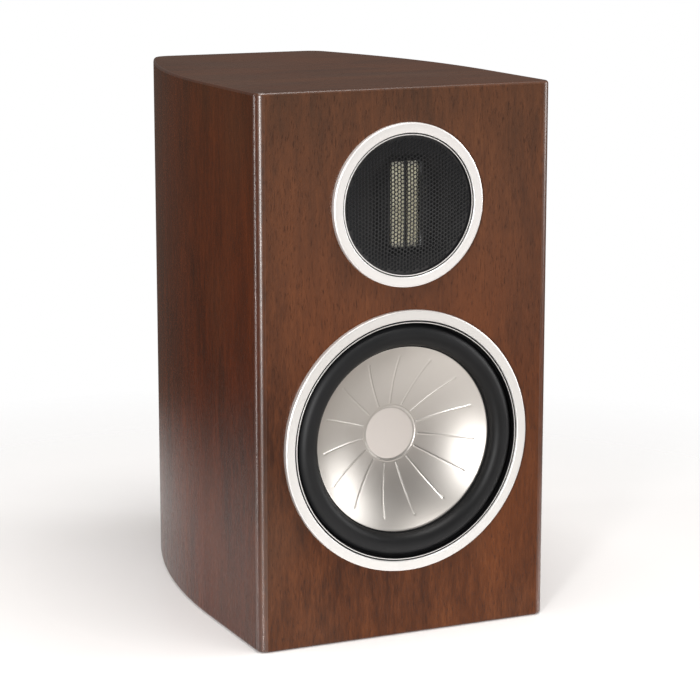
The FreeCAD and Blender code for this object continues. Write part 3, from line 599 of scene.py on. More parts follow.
def punched_sheet():
    """Plan of the sheet: a six-sided cell a hole, each a ring of quads from the cell's edge to the hole."""
    sides = 12
    column = hole_pitch * math.sqrt(3) / 2
    reach = int(grille_rim / column) + 2
    i, j = (grid.ravel() for grid in np.meshgrid(np.arange(-reach, reach + 1), np.arange(-reach, reach + 1)))
    cell_x = i * column
    cell_z = j * hole_pitch + (i % 2) * hole_pitch / 2
    near = np.hypot(cell_x, cell_z) < grille_rim + 0.45 * hole_pitch
    cell_x, cell_z = cell_x[near], cell_z[near]
    turn = np.radians(360 / sides * np.arange(sides))
    edge = np.where(np.arange(sides) % 2, hole_pitch / 2, hole_pitch / math.sqrt(3))
    outer = np.stack([cell_x[:, None] + edge * np.cos(turn), cell_z[:, None] + edge * np.sin(turn)], -1)
    hole_x = cell_x[:, None] + hole_radius * np.cos(turn)
    hole = np.stack([hole_x, cell_z[:, None] + hole_radius * np.sin(turn)], -1)
    far = np.linalg.norm(outer, axis=-1, keepdims=True)
    outer = outer * np.minimum(1.0, grille_rim / far)
    punched = np.hypot(cell_x, cell_z) < grille_dome - 0.2
    points = np.concatenate([outer.reshape(-1, 2), hole.reshape(-1, 2)])
    cells = np.arange(len(cell_x))[:, None] * sides + np.arange(sides)[None]
    after = np.roll(cells, -1, 1)
    shift = sides * len(cell_x)
    rings = np.stack([cells, after, after + shift, cells + shift], -1)[punched].reshape(-1, 4).tolist()
    return points, rings + cells[~punched].tolist()

def sheet_with_thickness(front, back, faces):
    """A sheet's front and back joined along every free edge: the rim and the walls of the holes."""
    count = len(front)
    ahead = np.array([[face[k - 1], face[k]] for face in faces for k in range(len(face))])
    keys = ahead[:, 0] * count + ahead[:, 1]
    paired = np.isin(keys, ahead[:, 1] * count + ahead[:, 0])
    a, b = ahead[~paired].T
    walls = np.stack([b, a, a + count, b + count], -1).tolist()
    return np.concatenate([front, back]), faces + [[i + count for i in face[::-1]] for face in faces] + walls


def grille_mesh():
    """The sheet's plan lifted on to the dome, with its back a sheet's thickness behind."""
    plan, faces = punched_sheet()
    flat = np.column_stack([plan[:, 0], np.zeros(len(plan)), plan[:, 1]])
    flat, faces = weld(flat, faces, 1e-5)
    front = flat + np.outer(grille_depth(np.hypot(flat[:, 0], flat[:, 2])), [0.0, 1.0, 0.0])
    points, faces = sheet_with_thickness(front, front + np.array([0.0, grille_sheet, 0.0]), faces)
    return at_driver(points, tweeter_z), faces


def mottled(name, fine, broad, mix, dull, bright, rough, gloss, relief, metallic=0.0, stretch=(1, 1, 1)):
    """A two-tone finish from a fine noise and a broad one, each (scale, detail, roughness): `mix` is the fine
    one's share of the tone, `gloss` what each adds to the roughness, and `relief` the fine one's bump."""
    f = Finish(name)
    small = f.noise(fine[0], f.place(scale=stretch), *fine[1:])
    large = f.noise(broad[0], f.place(), *broad[1:])
    return f.surface(
        Base_Color=f.blend((small * mix + large * (1 - mix)).clamp(), dull, bright),
        Metallic=metallic,
        Roughness=rough + small * gloss[0] + large * gloss[1],
        Normal=f.bump(small, *relief),
    )


def powder_coat(name, dull, bright, rough):
    """Fine powder coat: dark, slightly orange-peeled, with a soft sheen."""
    fine, broad = (2600.0, 2.0, 0.5), (120.0, 2.0, 0.5)
    return mottled(name, fine, broad, 0.0, dull, bright, rough, (0.12, 0.0), (0.10, 0.0001), metallic=0.35)


grille_black = powder_coat("grille_black", (0.017, 0.0174, 0.0185), (0.028, 0.0285, 0.030), 0.24)
tweeter_grille = mesh_object("tweeter_grille_dome", *grille_mesh(), grille_black, 40.0)
placed(tweeter_grille, "cabinet", "grille_steel", "tweeter_grille")


# ----------------------------------------------------------
# Tweeter faceplate.  A moulded black plate behind the grille, with a flared mouth that narrows to the
# ribbon's window, and a slim bar down the middle that steadies the foil.
plate_radius = node_radius("tweeter_faceplate")
mouth = (24.0, 27.5)            # half width and half height of the flare at the plate's face, mm
window = (8.6, 23.0)            # the same at the ribbon's window
flare_depth = 3.0
plate_depth = 5.0


def rounded_rectangle(half, power, turn):
    """The point at each direction on a superellipse: the higher its power, the tighter its four corners."""
    c, s = np.cos(turn), np.sin(turn)
    reach = (np.abs(c / half[0]) ** power + np.abs(s / half[1]) ** power) ** (-1 / power)
    return np.stack([reach * c, reach * s], -1)


def faceplate_mesh():
    """Loops from the plate's edge over its face, down the flare, through the window and back behind.

    Down the flare a loop goes from mouth to window by t, and its depth grows as (1 - cos(90 t)) ^ 0.8."""
    turn = full_turn(288)
    rim = np.stack([plate_radius * np.cos(turn), plate_radius * np.sin(turn)], -1)
    wide = rounded_rectangle(mouth, 9.0, turn)
    narrow = rounded_rectangle(window, 14.0, turn)
    loops = [(rim, plate_depth), (rim, 0.3), (rim * 0.993, 0.0), (rim * 0.3 + wide * 0.7, 0.0)]
    for t in np.linspace(0, 1, 17):
        loops.append((wide * (1 - t) + narrow * t, flare_depth * (1 - math.cos(t * math.pi / 2)) ** 0.8))
    loops += [(narrow, flare_depth + 0.4), (narrow * 1.02, plate_depth)]
    rows = [np.column_stack([p[:, 0], np.full(len(p), depth), p[:, 1]]) for p, depth in loops]
    faces = quads(len(loops), len(turn), wrap_rows=True, wrap_columns=True)
    return at_driver(np.concatenate(rows), tweeter_z), faces


def moulded(name, dull, bright, rough):
    """Moulded plastic with a fine spark-eroded grain and slightly uneven gloss."""
    fine, broad = (1400.0, 3.0, 0.6), (80.0, 2.0, 0.5)
    return mottled(name, fine, broad, 0.5, dull, bright, rough, (0.14, 0.05), (0.15, 0.0001))


faceplate_black = moulded("faceplate_black", (0.012, 0.013, 0.0145), (0.028, 0.030, 0.033), 0.30)
faceplate = mesh_object("tweeter_faceplate_flare", *faceplate_mesh(), faceplate_black, 40.0)
placed(faceplate, "cabinet", "faceplate_black", "tweeter_faceplate")

bar_half_width, bar_half_height = 0.6, window[1] + 0.6
bar_middle, bar_half_depth = 2.4, 0.5


def bar_mesh():
    """A slim upright bar; its section's x and y are the signed square roots of cos a and sin a."""
    turn = full_turn(20)
    x, y = (np.sign(wave) * np.abs(wave) ** 0.5 for wave in (np.cos(turn), np.sin(turn)))
    heights = np.linspace(-bar_half_height, bar_half_height, 9)
    rings = [np.column_stack([bar_half_width * x, bar_middle + bar_half_depth * y, np.full(len(turn), z)])
             for z in heights]
    return at_driver(np.concatenate(rings), tweeter_z), tube_faces(len(heights), len(turn))


window_bar = mesh_object("ribbon_window_bar", *bar_mesh(), faceplate_black, 60.0)
placed(window_bar, "cabinet", "faceplate_black")


# ----------------------------------------------------------
# Ribbon.  A strip of very thin metal foil hung between two clamps, pleated across so that it can move; its
# magnets, yoke and transformer sit behind it inside a moulded cup.
ribbon_half_width = 8.2
pleated_half_height = 21.0
pleat_pitch = 0.84
pleat_level = 3.72
pleat_depth = 0.42              # either side of the level
foil_thickness = 0.12
tab_level = 4.7                 # depth of the flat ends, where the clamps hold the foil


def ribbon_mesh():
    """Height runs over the foil; depth is a smoothed zigzag in the pleated part and flat on the end tabs."""
    z = np.linspace(-pleated_half_height, pleated_half_height, 601)
    wave = np.arcsin(0.96 * np.sin(2 * math.pi * z / pleat_pitch)) / (math.pi / 2)
    fade = np.clip((pleated_half_height - np.abs(z)) / 0.6, 0, 1)
    depth = pleat_level + pleat_depth * wave * fade
    tab_z = np.array([-25.5, -22.2, -21.6])
    height = np.concatenate([tab_z, z, -tab_z[::-1]])
    tab_depth = [tab_level, tab_level, tab_level - 0.25]
    depth = np.concatenate([tab_depth, depth, tab_depth[::-1]])
    across, up = np.meshgrid(np.linspace(-ribbon_half_width, ribbon_half_width, 9), height)
    front = np.dstack([across, np.broadcast_to(depth[:, None], up.shape), up]).reshape(-1, 3)
    points, faces = sheet_with_thickness(front, front + np.array([0.0, foil_thickness, 0.0]), quads(*up.shape))
    return at_driver(points, tweeter_z), faces


# Thin rolled metal foil with a warm pale tone, faint creases across and a soft bright sheen.
foil = mottled("ribbon_foil", (420.0, 3.0, 0.6), (90.0, 2.0, 0.5), 0.0, (0.90, 0.87, 0.72), (0.98, 0.96, 0.85),
               0.36, (0.2, 0.0), (0.2, 0.0002), metallic=0.20, stretch=(0.25, 1.0, 1.0))
ribbon = mesh_object("ribbon_foil", *ribbon_mesh(), foil, 60.0)
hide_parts("ribbon_diaphragm")
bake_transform(ribbon)


def points_of(mesh):
    found = np.zeros(len(mesh.vertices) * 3, np.float32)
    mesh.vertices.foreach_get("co", found)
    return found.reshape(-1, 3).astype(float)


off_centre = np.abs(points_of(ribbon.data)[:, 2] - tweeter_z) / MM


# ----------------------------------------------------------
# Woofer trim ring.  The same satin section as the tweeter's ring, with a skirt that centres it in the seat
# and covers the basket's flange and the surround's outer foot.
woofer_ring_radius = node_radius("woofer_trim_ring")
skirt = [(woofer_ring_radius - r, d) for r, d in ((71.0, 0.0), (71.0, 3.6), (69.8, 3.6), (69.8, 0.4))]
# Painted shade: these tones are darker than the tweeter ring's, though both rings share one finish, so that the
# lower ring looks more shaded.
trim_ring("woofer_ring", "woofer_trim_ring", woofer_z, 0.3, 0.4, skirt,
          (0.84, 0.83, 0.81), (0.77, 0.76, 0.74), [(6.0, 0.42), (7.2, 0.42)], 320)


# ----------------------------------------------------------
# Surround.  A moulded rubber half roll between the cone's rim and the basket.  It carries the cone and rolls
# as the cone moves; how much of each point would follow the cone is worked out below but not kept.
roll_middle = 58.1
roll_radius = 6.2
roll_wall = 0.8
roll_level = 3.2
inner_foot = 51.2
outer_foot = 69.5
foot_front, foot_back = 2.8, 3.6


def surround_profile():
    """Inner foot, half roll and outer foot in front; the same behind, a wall's thickness away."""
    lean = math.asin((roll_level - foot_front) / roll_radius)
    over = np.linspace(math.pi - lean, lean, 33)
    under = np.linspace(0, math.pi, 29)
    front = np.stack([roll_middle + roll_radius * np.cos(over), roll_level - roll_radius * np.sin(over)], -1)
    hollow = roll_radius - roll_wall
    behind = np.stack([roll_middle + hollow * np.cos(under), roll_level - hollow * np.sin(under)], -1)
    outer = np.array([(outer_foot, foot_front), (outer_foot, foot_back), (roll_middle + hollow, foot_back)])
    inner = np.array([(roll_middle - hollow, foot_back), (inner_foot, foot_back),
                      (inner_foot, foot_front + 0.15), (inner_foot + 0.2, foot_front)])
    return np.concatenate([front, outer, behind, inner])


def rubber_material():
    """Black butyl rubber: matt with a soft sheen, a faint bloom, very fine moulding grain, and painted shade on
    the roll's inner part beside the cone.
    """
    f = Finish("surround_rubber")
    grain = f.noise(1800.0, f.place(), 3.0, 0.6)
    bloom = f.noise(45.0, f.place(), 3.0, 0.55)
    # Painted shade: within 54.5 mm of the axis the rubber is darkened towards black, where the roll meets the
    # cone.
    painted_shade_near_cone = 1 - ((axis_distance(f, woofer_z) - 0.0545) * 260.0).clamp()
    tone = f.blend(bloom, (0.0070, 0.0073, 0.0079), (0.0135, 0.0140, 0.0150))
    tone = f.blend(painted_shade_near_cone * 0.75, tone, (0.0022, 0.0022, 0.0024))
    return f.surface(Base_Color=tone, Roughness=0.40 + bloom * 0.10 + grain * 0.06,
                     Normal=f.bump(grain, 0.12, 0.0001), Specular_IOR_Level=0.25)


surround = turned("surround_roll", surround_profile(), 0.0, woofer_z, rubber_material(), 256, 45.0)
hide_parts("woofer_surround")
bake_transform(surround)


def woofer_radius_of(piece):
    at = points_of(piece.data)
    return np.hypot(at[:, 0], at[:, 2] - woofer_z) / MM


def ease(t):
    t = np.clip(t, 0, 1)
    return t * t * (3 - 2 * t)


still = 0.6                     # this much of the roll beside each foot moves with the foot
inside_foot = roll_middle + roll_radius - still - woofer_radius_of(surround)
ease(inside_foot / (2 * roll_radius - 2 * still))


# ----------------------------------------------------------
# Cone.  One dish pressed from thin aluminium alloy and satin anodised, with a flat centre disc inside a
# fine embossed ring and fifteen slender raised ribs.  It is bonded to the surround and to the coil's former.
dish_sphere = 80.0
dish_bottom = 22.0
cone_rim = 52.7
cone_sheet = 0.9
rim_level = 3.6
rib_count = 15
rib_height = 0.21
rib_width = 0.42
rib_start, rib_end = 16.3, 45.0
disc_radius = 14.4
disc_level = 20.78
emboss_radius, emboss_height, emboss_width = 15.6, 0.12, 0.35
groove_depth, groove_width = 0.11, 0.25
bead_height, bead_length, bead_width = 0.30, 0.75, 0.62     # the rounded outer end of each rib


def dish_level(radius, sphere=dish_sphere):
    """Depth of the dish at a radius, on a sphere about the dish's centre."""
    return dish_bottom - dish_sphere + np.sqrt(np.maximum(sphere**2 - radius**2, 0))


def cone_front(radius, bearing):
    """Depth of the cone's face: the disc rises over a short step to the dish; ribs and the ring stand proud.

    A rib is exp(-(d / w)^2) of the distance d from its line, faded in at its start and out at its end."""
    step = ease((radius - disc_radius) / 1.3)
    level = disc_level * (1 - step) + dish_level(np.maximum(radius, disc_radius)) * step
    level = np.maximum(level, rim_level)
    ring = emboss_height * np.exp(-(((radius - emboss_radius) / emboss_width) ** 2))
    groove = groove_depth * np.exp(-(((radius - disc_radius + 0.1) / groove_width) ** 2))
    sector = 2 * math.pi / rib_count
    off = (bearing - math.pi / 2 + sector / 2) % sector - sector / 2
    across = radius * np.sin(off)
    along = ease((radius - rib_start) / 1.0) * ease((rib_end + 0.6 - radius) / 0.9)
    bead = np.exp(-((radius - rib_end + 0.2) / bead_length) ** 2 - (across / bead_width) ** 2)
    rib = np.maximum(rib_height * along * np.exp(-((across / rib_width) ** 2)), bead_height * bead)
    return level - ring + groove - rib


def cone_mesh():
    """A polar grid, its bearings crowded round the ribs; the back follows the dish without ribs."""
    steps = np.array([0.2, 0.42, 0.66, 0.92, 1.25, 1.7, 2.4, 3.5, 5.2, 8.2])
    sector = 360 / rib_count
    offsets = np.concatenate([-steps[::-1], [0], steps, [sector / 2]])
    bearing = np.radians((np.arange(rib_count)[:, None] * sector + 90 + offsets[None]).ravel())
    rim_inner = math.sqrt(dish_sphere**2 - (rim_level - dish_bottom + dish_sphere) ** 2)
    radius = np.concatenate([
        [0.35, 1.5, 3.5, 6.0, 9.0, 12.0], np.linspace(13.2, 17.6, 34), np.linspace(18.2, 43.4, 34),
        np.linspace(43.8, 46.0, 12), np.linspace(46.8, rim_inner, 8), [rim_inner + 0.25, cone_rim],
    ])
    r, b = np.meshgrid(radius, bearing, indexing="ij")
    front = np.dstack([r * np.cos(b), cone_front(r, b), r * np.sin(b)])
    outward = dish_sphere + cone_sheet
    back_radius = [cone_rim, rim_inner + 0.3, 46.0, 40.0, 34.0, 28.0, 22.0, 16.6, 16.4, 12.0, 6.0, 0.35]
    back_radius = np.array(back_radius)
    back_level = np.where(back_radius > rim_inner, rim_level + cone_sheet, dish_level(back_radius, outward))
    back_level = np.where(back_radius < 16.5, dish_bottom + 0.4, back_level)
    rb, bb = np.meshgrid(back_radius, bearing, indexing="ij")
    back = np.dstack([rb * np.cos(bb), np.broadcast_to(back_level[:, None], rb.shape), rb * np.sin(bb)])
    grid = np.concatenate([front, back])
    rows, columns = grid.shape[:2]
    return at_driver(grid.reshape(-1, 3), woofer_z), tube_faces(rows, columns, inside_out=True)


def cone_material():
    """Satin anodised alloy, warm grey: blasted grain, slow drift of tone, and a brighter, coarser disc."""
    f = Finish("cone_alloy")
    radius = axis_distance(f, woofer_z)
    disc = 1 - ((radius - 0.0140) * 2500.0).clamp()
    grain = f.noise(3000.0, f.place(), 2.0, 0.55)
    cloud = f.noise(38.0, f.place(), 3.0, 0.5)
    tone = f.blend((cloud * 0.7 + grain * 0.3).clamp(), (0.50, 0.476, 0.445), (0.59, 0.564, 0.530))
    tone = f.blend(disc * 0.8, tone, (0.88, 0.835, 0.80))
    return f.surface(
        Base_Color=tone,
        Metallic=0.92,
        Roughness=0.39 + grain * 0.07 + disc * 0.05,
        Normal=f.bump(grain, 0.10, 0.0001),
    )


cone = mesh_object("cone_dish", *cone_mesh(), cone_material(), 60.0)
placed(cone, "cone_assembly", "cone_alloy", "woofer_cone")


# ----------------------------------------------------------
# Bass port.  One black moulding let into the rear panel: a straight tube, a wide flare outside that ends in
# a thin flange on the veneer, and a small horn at the inner end.
rear_face = (rear_y - front_y) / MM
port_centre = node_centre("reflex_port")
port_inner_end = (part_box("reflex_port")[0].y - front_y) / MM
port_bore = 20.0
port_bell = 14.0
port_horn = 8.0
port_lip = rear_face + 1.5


def quarter(centre_radius, centre_depth, radius, way, count=17):
    """A quarter circle bulging into the bore, from the bore (a = 0) out to the face (a = 90)."""
    a = np.linspace(0, math.pi / 2, count)
    return list(zip(centre_radius - radius * np.cos(a), centre_depth + way * radius * np.sin(a)))


def port_profile():
    """Outer flare, flange, the tube's outside, and the inner horn, as one closed line."""
    flare = quarter(port_bore + port_bell, port_lip - port_bell, port_bell, 1)
    flange = [(36.9, port_lip), (37.3, port_lip - 0.2), (37.5, port_lip - 0.6)]
    outside = [(37.5, rear_face), (35.0, rear_face), (35.0, rear_face - 4), (22.5, rear_face - 17),
               (22.5, port_inner_end + 10), (30.0, port_inner_end + 2), (30.0, port_inner_end)]
    horn = quarter(port_bore + port_horn, port_inner_end + port_horn, port_horn, -1)[::-1]
    return flare + flange + outside + horn


port_plastic = moulded("port_plastic", (0.012, 0.0125, 0.013), (0.026, 0.0265, 0.0275), 0.42)
port = turned("reflex_port_moulding", port_profile(), 0.0, port_centre.z, port_plastic, 160, 50.0)
placed(port, "cabinet", "port_plastic", "reflex_port")


# ----------------------------------------------------------
# Terminal panel.  A square black moulding screwed at its corners, with two pairs of binding posts: threaded
# gold-plated studs in moulded collars, fluted knobs with a coloured band, and flat links between the pairs.
def finish_nodes(material, *names):
    """These CAD parts keep their shape and take this material."""
    for name in names:
        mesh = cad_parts[name].data
        for k in range(len(mesh.materials)):
            mesh.materials[k] = material


def plated(name, bright, dull, rough, wear=0.10):
    """Plated metal: fine turning marks, faint cloudy tarnish, and a gloss that varies a little."""
    fine, broad = (2400.0, 2.0, 0.6), (140.0, 3.0, 0.55)
    return mottled(name, fine, broad, 0.25, dull, bright, rough, (0.05, wear), (0.04, 0.0001),
                   metallic=1.0, stretch=(1.0, 0.3, 1.0))


gold_plate = plated("gold_plate", (0.90, 0.66, 0.30), (0.72, 0.49, 0.19), 0.20)
terminal_plastic = moulded("terminal_plastic", (0.011, 0.011, 0.012), (0.027, 0.027, 0.029), 0.40)
screw_black = plated("screw_black", (0.055, 0.055, 0.060), (0.024, 0.024, 0.027), 0.34)
finish_nodes(walnut, "rear_panel")
finish_nodes(terminal_plastic, "terminal_panel", "post_insulators")
finish_nodes(screw_black, "terminal_screws", "bolt_washer", "tension_bolt", "tweeter_screws")
finish_nodes(gold_plate, "binding_post_studs", "post_nuts", "link_plate_positive", "link_plate_negative",
             "clamp_washer_hf_positive", "clamp_washer_hf_negative", "clamp_washer_lf_positive",
             "clamp_washer_lf_negative", "tweeter_terminals", "woofer_terminals")

knob_radius = 8.0
knob_bore = 3.1
knob_chamfer = 0.7
flute_count = 16
flute_radius = 0.9
flute_circle = 8.3
flutes_from, flutes_stop = 4.1, 2.1     # from the near and from the far face
flute_runout = 0.25
band_groove_radius = 7.4


def fluted_radius(depth, length, bearing):
    """The barrel's radius, less what the flutes' circles cut out of it between its two plain ends."""
    pitch = 2 * math.pi / flute_count
    off = (bearing + pitch / 2) % pitch - pitch / 2
    reach = flute_radius**2 - (flute_circle * np.sin(off)) ** 2
    cut = flute_circle * np.cos(off) - np.sqrt(np.maximum(reach, 0))
    cut = np.where(reach > 0, cut, knob_radius)
    inside = ease((depth - flutes_from) / flute_runout) * ease((length - flutes_stop - depth) / flute_runout)
    return knob_radius + (np.minimum(cut, knob_radius) - knob_radius) * inside


def knob_mesh(centre_x, centre_z, face, end):
    """Rows run from the bore over the near face, along the fluted barrel, and back over the far face."""
    length = end - face
    bearing = full_turn(flute_count * 12)
    from_near = [0.7, 1.55, 1.6, 3.4, 3.45, 4.1, 4.16, 4.22, 4.35]
    from_end = length - np.array([2.35, 2.22, 2.16, 2.1, 0.7])
    along = np.concatenate([from_near, np.linspace(5.0, length - 3.0, 5), from_end])
    barrel = fluted_radius(along[:, None], length, bearing[None])
    barrel[2:4] = band_groove_radius
    end_face = np.full((2, len(bearing)), [[knob_bore], [knob_radius - knob_chamfer]])
    depth = np.concatenate([[0.0, 0.0], along, [length, length]])
    radius = np.concatenate([end_face, barrel, end_face[::-1]])
    points = np.dstack([
        centre_x + MM * radius * np.cos(bearing),
        np.broadcast_to(front_y + MM * (face + depth)[:, None], radius.shape),
        centre_z + MM * radius * np.sin(bearing),
    ]).reshape(-1, 3)
    faces = quads(*radius.shape, wrap_rows=True, wrap_columns=True)
    return points, [corners[::-1] for corners in faces]


# The coloured ring that fills a knob's groove, counted from the near face, and the flat polarity ring pressed
# into its end, counted from the far face.
band_section = [(7.45, 1.65), (7.85, 1.7), (7.98, 2.1), (7.98, 2.9), (7.85, 3.3), (7.45, 3.35)]
end_ring_section = [(4.5, -0.3), (4.5, 0.08), (4.62, 0.14), (6.38, 0.14), (6.5, 0.08), (6.5, -0.3)]
band_colours = {
    "positive": moulded("band_red", (0.42, 0.012, 0.010), (0.60, 0.024, 0.016), 0.30),
    "negative": moulded("band_black", (0.010, 0.010, 0.011), (0.022, 0.022, 0.024), 0.30),
}
for way in ("hf", "lf"):
    for pole, band_colour in band_colours.items():
        node = "knob_" + way + "_" + pole
        middle = node_centre(node)
        near, far = ((corner.y - front_y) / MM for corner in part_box(node))
        knob = mesh_object(node + "_fluted", *knob_mesh(middle.x, middle.z, near, far), gold_plate, 30.0)
        placed(knob, node, "gold_plate", node)
        for suffix, section, start in (("_band", band_section, near), ("_end_ring", end_ring_section, far)):
            profile = [(r, start + d) for r, d in section]
            ring = turned(node + suffix, profile, middle.x, middle.z, band_colour, 96, 40.0)
            placed(ring, node, "terminal_plastic")


# ----------------------------------------------------------
# Spider and voice coil.  The spider is a corrugated disc of resin-dipped cloth glued to the coil's former
# inside and to the basket outside, so it follows the cone at its cuff and stays still at its foot.
spider_cuff, spider_first, spider_last, spider_foot = 15.9, 17.5, 36.5, 41.8
spider_level = 40.0
spider_cloth = 0.5
spider_half_waves = 8


def spider_mesh():
    """Depth is a sine of the radius, of 4 whole waves, between the flat cuff and the flat foot."""
    radius = np.concatenate([[spider_cuff], np.linspace(spider_first, spider_last, 81), [39.0, spider_foot]])
    turns = (radius - spider_first) / (spider_last - spider_first)
    wave = np.where((turns > 0) & (turns < 1), -0.9 * np.sin(math.pi * spider_half_waves * turns), 0.0)
    front = np.stack([radius, spider_level + wave], -1)
    behind = np.stack([radius, spider_level + spider_cloth + wave], -1)[::-1]
    return turned_mesh(np.concatenate([front, behind]), 0.0, woofer_z, 160)


def cloth_material():
    """Open plain weave of threads along x and z, stiff with resin: the threads stand proud of the gaps."""
    f = Finish("spider_cloth")
    weave = (f.wave(420.0, "X", f.place()) + f.wave(420.0, "Z", f.place())) * 0.5
    resin = f.noise(90.0, f.place(), 3.0, 0.5)
    tone = f.blend((weave * 0.6 + resin * 0.4).clamp(), (0.42, 0.24, 0.07), (0.62, 0.40, 0.14))
    return f.surface(Base_Color=tone, Roughness=0.62 + resin * 0.15, Normal=f.bump(weave, 0.5, 0.0002))


def crosses_to_cone(piece, name, inner, outer):
    """Hides the CAD node and bakes the piece's transform; how far each point would follow the cone, fully
    within `inner` mm of the axis and not at all beyond `outer` mm, is worked out but not kept.
    """
    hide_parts(name)
    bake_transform(piece)
    ease((outer - woofer_radius_of(piece)) / (outer - inner))


spider = mesh_object("spider_corrugated", *spider_mesh(), cloth_material(), 60.0)
crosses_to_cone(spider, "spider", spider_first, 40.0)


# ----------------------------------------------------------
# Wiring.  Flexible braid from the basket's tags to the coil, and insulated leads from the crossover board to
# both drivers and to the binding posts, each soldered or crimped at its two ends.
def lead_tube(route, diameter):
    """A round lead on the smooth spline whose control points, in mm from the baffle's face, are the route."""
    curve = bpy.data.curves.new("lead", "CURVE")
    curve.dimensions = "3D"
    spline = curve.splines.new("NURBS")
    spline.points.add(len(route) - 1)
    control = np.column_stack([np.asarray(route, float) * MM, np.ones(len(route))])
    control[:, 1] += front_y
    spline.points.foreach_set("co", control.ravel())
    spline.order_u = 3
    spline.use_endpoint_u = True
    spline.resolution_u = 10
    curve.bevel_depth = diameter / 2 * MM
    curve.bevel_resolution = 3
    curve.use_fill_caps = True
    drawn = bpy.data.objects.new("lead", curve)
    mesh = bpy.data.meshes.new_from_object(drawn)
    bpy.data.objects.remove(drawn)
    return points_of(mesh), [list(polygon.vertices) for polygon in mesh.polygons]


def braid_material():
    """Tinned copper braid: crossing strands, with painted light on their tops and painted shade between them.
    """
    f = Finish("tinsel_braid")
    one = f.wave(900.0, "DIAGONAL", f.place())
    two = f.wave(900.0, "DIAGONAL", f.place(turn=(0.0, math.pi / 2, 0.0)))
    strand = (one * 0.5 + two * 0.5).clamp()
    # The strand pattern is the braid's own; its bright tops and dark gaps are painted light and painted shade.
    tone = f.blend(strand, (0.26, 0.15, 0.09), (0.80, 0.60, 0.44))
    relief = f.bump(strand, 0.5, 0.0002)
    return f.surface(Base_Color=tone, Metallic=0.9, Roughness=0.42 - strand * 0.1, Normal=relief)


# Soft vinyl insulation: even black with a faint bloom and a fine drawn texture.
cable_jacket = mottled("cable_jacket", (900.0, 2.0, 0.5), (60.0, 2.0, 0.5), 0.0, (0.014, 0.014, 0.015),
                       (0.030, 0.030, 0.032), 0.42, (0.15, 0.0), (0.15, 0.0001))
woofer_height = woofer_z / MM
tweeter_height = tweeter_z / MM
panel_height = node_centre("terminal_panel").z / MM
board_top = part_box("crossover_board")[1].z / MM
post_across, post_up = 19.0, 17.0

tinsel, woofer_leads, tweeter_leads, input_leads = [], [], [], []
for side in (-1, 1):
    spread = 4.5 * side
    tag = woofer_height + spread
    droop = [(47.2, 45.6), (47.2, 40.8), (44.6, 34.0), (38.0, 29.5), (29.0, 31.5), (21.0, 30.0), (16.6, 33.0)]
    tinsel.append(lead_tube([(x, y, tag) for x, y in droop], 1.0))
    woofer_leads.append(lead_tube([
        (36.0, 104.0 + spread, board_top), (36.0, 104.0 + spread, board_top + 14.0),
        (41.0, 92.0 + 0.6 * spread, 62.0), (48.5, 77.0, 82.0 + spread),
        (51.0, 67.0, 99.0 + spread), (51.0, 57.0, tag), (51.0, 46.4, tag),
    ], 1.8))
    tweeter_leads.append(lead_tube([
        (-37.0, 155.0 + spread, board_top), (-37.0, 155.0 + spread, 48.0), (-38.5, 148.0 + spread, 84.0),
        (-37.0, 133.0 + spread, 118.0), (-33.0, 115.0 + spread, 154.0),
        (-26.0 + 0.5 * spread, 92.0 + 0.5 * spread, 190.0), (-13.0 + spread, 78.0, 219.0),
        (1.5 * spread, 67.0, tweeter_height), (1.5 * spread, 56.0, tweeter_height),
    ], 1.6))
    for up in (-1, 1):
        level = panel_height + up * post_up
        post_x = side * post_across
        board_x = side * (26.0 if up > 0 else 14.0)
        dip = level - 22.0 if up > 0 else level - 3.0
        input_leads.append(lead_tube([
            (post_x, rear_face - 12, level), (post_x, rear_face - 24, level),
            (0.5 * post_x + 0.5 * board_x, rear_face - 42, dip), (board_x, rear_face - 65, board_top + 11.0),
            (board_x, rear_face - 65, board_top),
        ], 2.0))

tinsel_pair = mesh_object("tinsel_pair", *gather(tinsel), braid_material(), 50.0)
crosses_to_cone(tinsel_pair, "tinsel_leads", 17.2, 46.0)
for name, leads, node in (("woofer_lead_pair", woofer_leads, "woofer_leads"),
                          ("tweeter_lead_pair", tweeter_leads, "tweeter_leads"),
                          ("input_lead_set", input_leads, "input_leads")):
    placed(mesh_object(name, *gather(leads), cable_jacket, 50.0), "cabinet", "cable_jacket", node)


# ----------------------------------------------------------
# Parts behind the drivers and inside the cabinet.  The woofer's basket and motor, the tweeter's cup and
# motor, the brace, the damping foam and the crossover keep their shapes; each takes its own finish here.
def pressed(name, dull, bright, scale, rough, depth=0.3):
    """Pressed board or foam: a fibrous or cellular mottle at one scale with a slower drift over it."""
    fine, broad = (scale, 4.0, 0.65), (scale / 14, 2.0, 0.5)
    return mottled(name, fine, broad, 0.6, dull, bright, rough, (0.1, 0.0), (depth, 0.0005))


def winding_material():
    """Enamelled copper wire wound close: fine round ridges along the winding, varnished."""
    f = Finish("winding_copper")
    turns = f.wave(480.0, "Y", f.place())
    varnish = f.noise(70.0, f.place(), 3.0, 0.5)
    tone = f.blend((turns * 0.5 + varnish * 0.5).clamp(), (0.30, 0.085, 0.028), (0.72, 0.30, 0.12))
    relief = f.bump(turns, 0.6, 0.0003)
    return f.surface(Base_Color=tone, Metallic=0.75, Roughness=0.28 + varnish * 0.12, Normal=relief)


def circuit_material():
    """Green solder mask over copper tracks, which show as paler, slightly raised lanes."""
    f = Finish("circuit_board")
    inputs = {"Vector": f.place(), "Scale": 90.0}
    cells = f.node("ShaderNodeTexVoronoi", {"feature": "DISTANCE_TO_EDGE"}, inputs)
    lanes = ((cells - 0.08) * 14.0).clamp()
    weave = f.noise(1500.0, f.place(), 2.0, 0.5)
    tone = f.blend(lanes, (0.012, 0.085, 0.035), (0.020, 0.150, 0.060))
    relief = f.bump(lanes, 0.35, 0.0001)
    return f.surface(Base_Color=tone, Roughness=0.30 + weave * 0.12, Normal=relief, Coat_Weight=0.3)


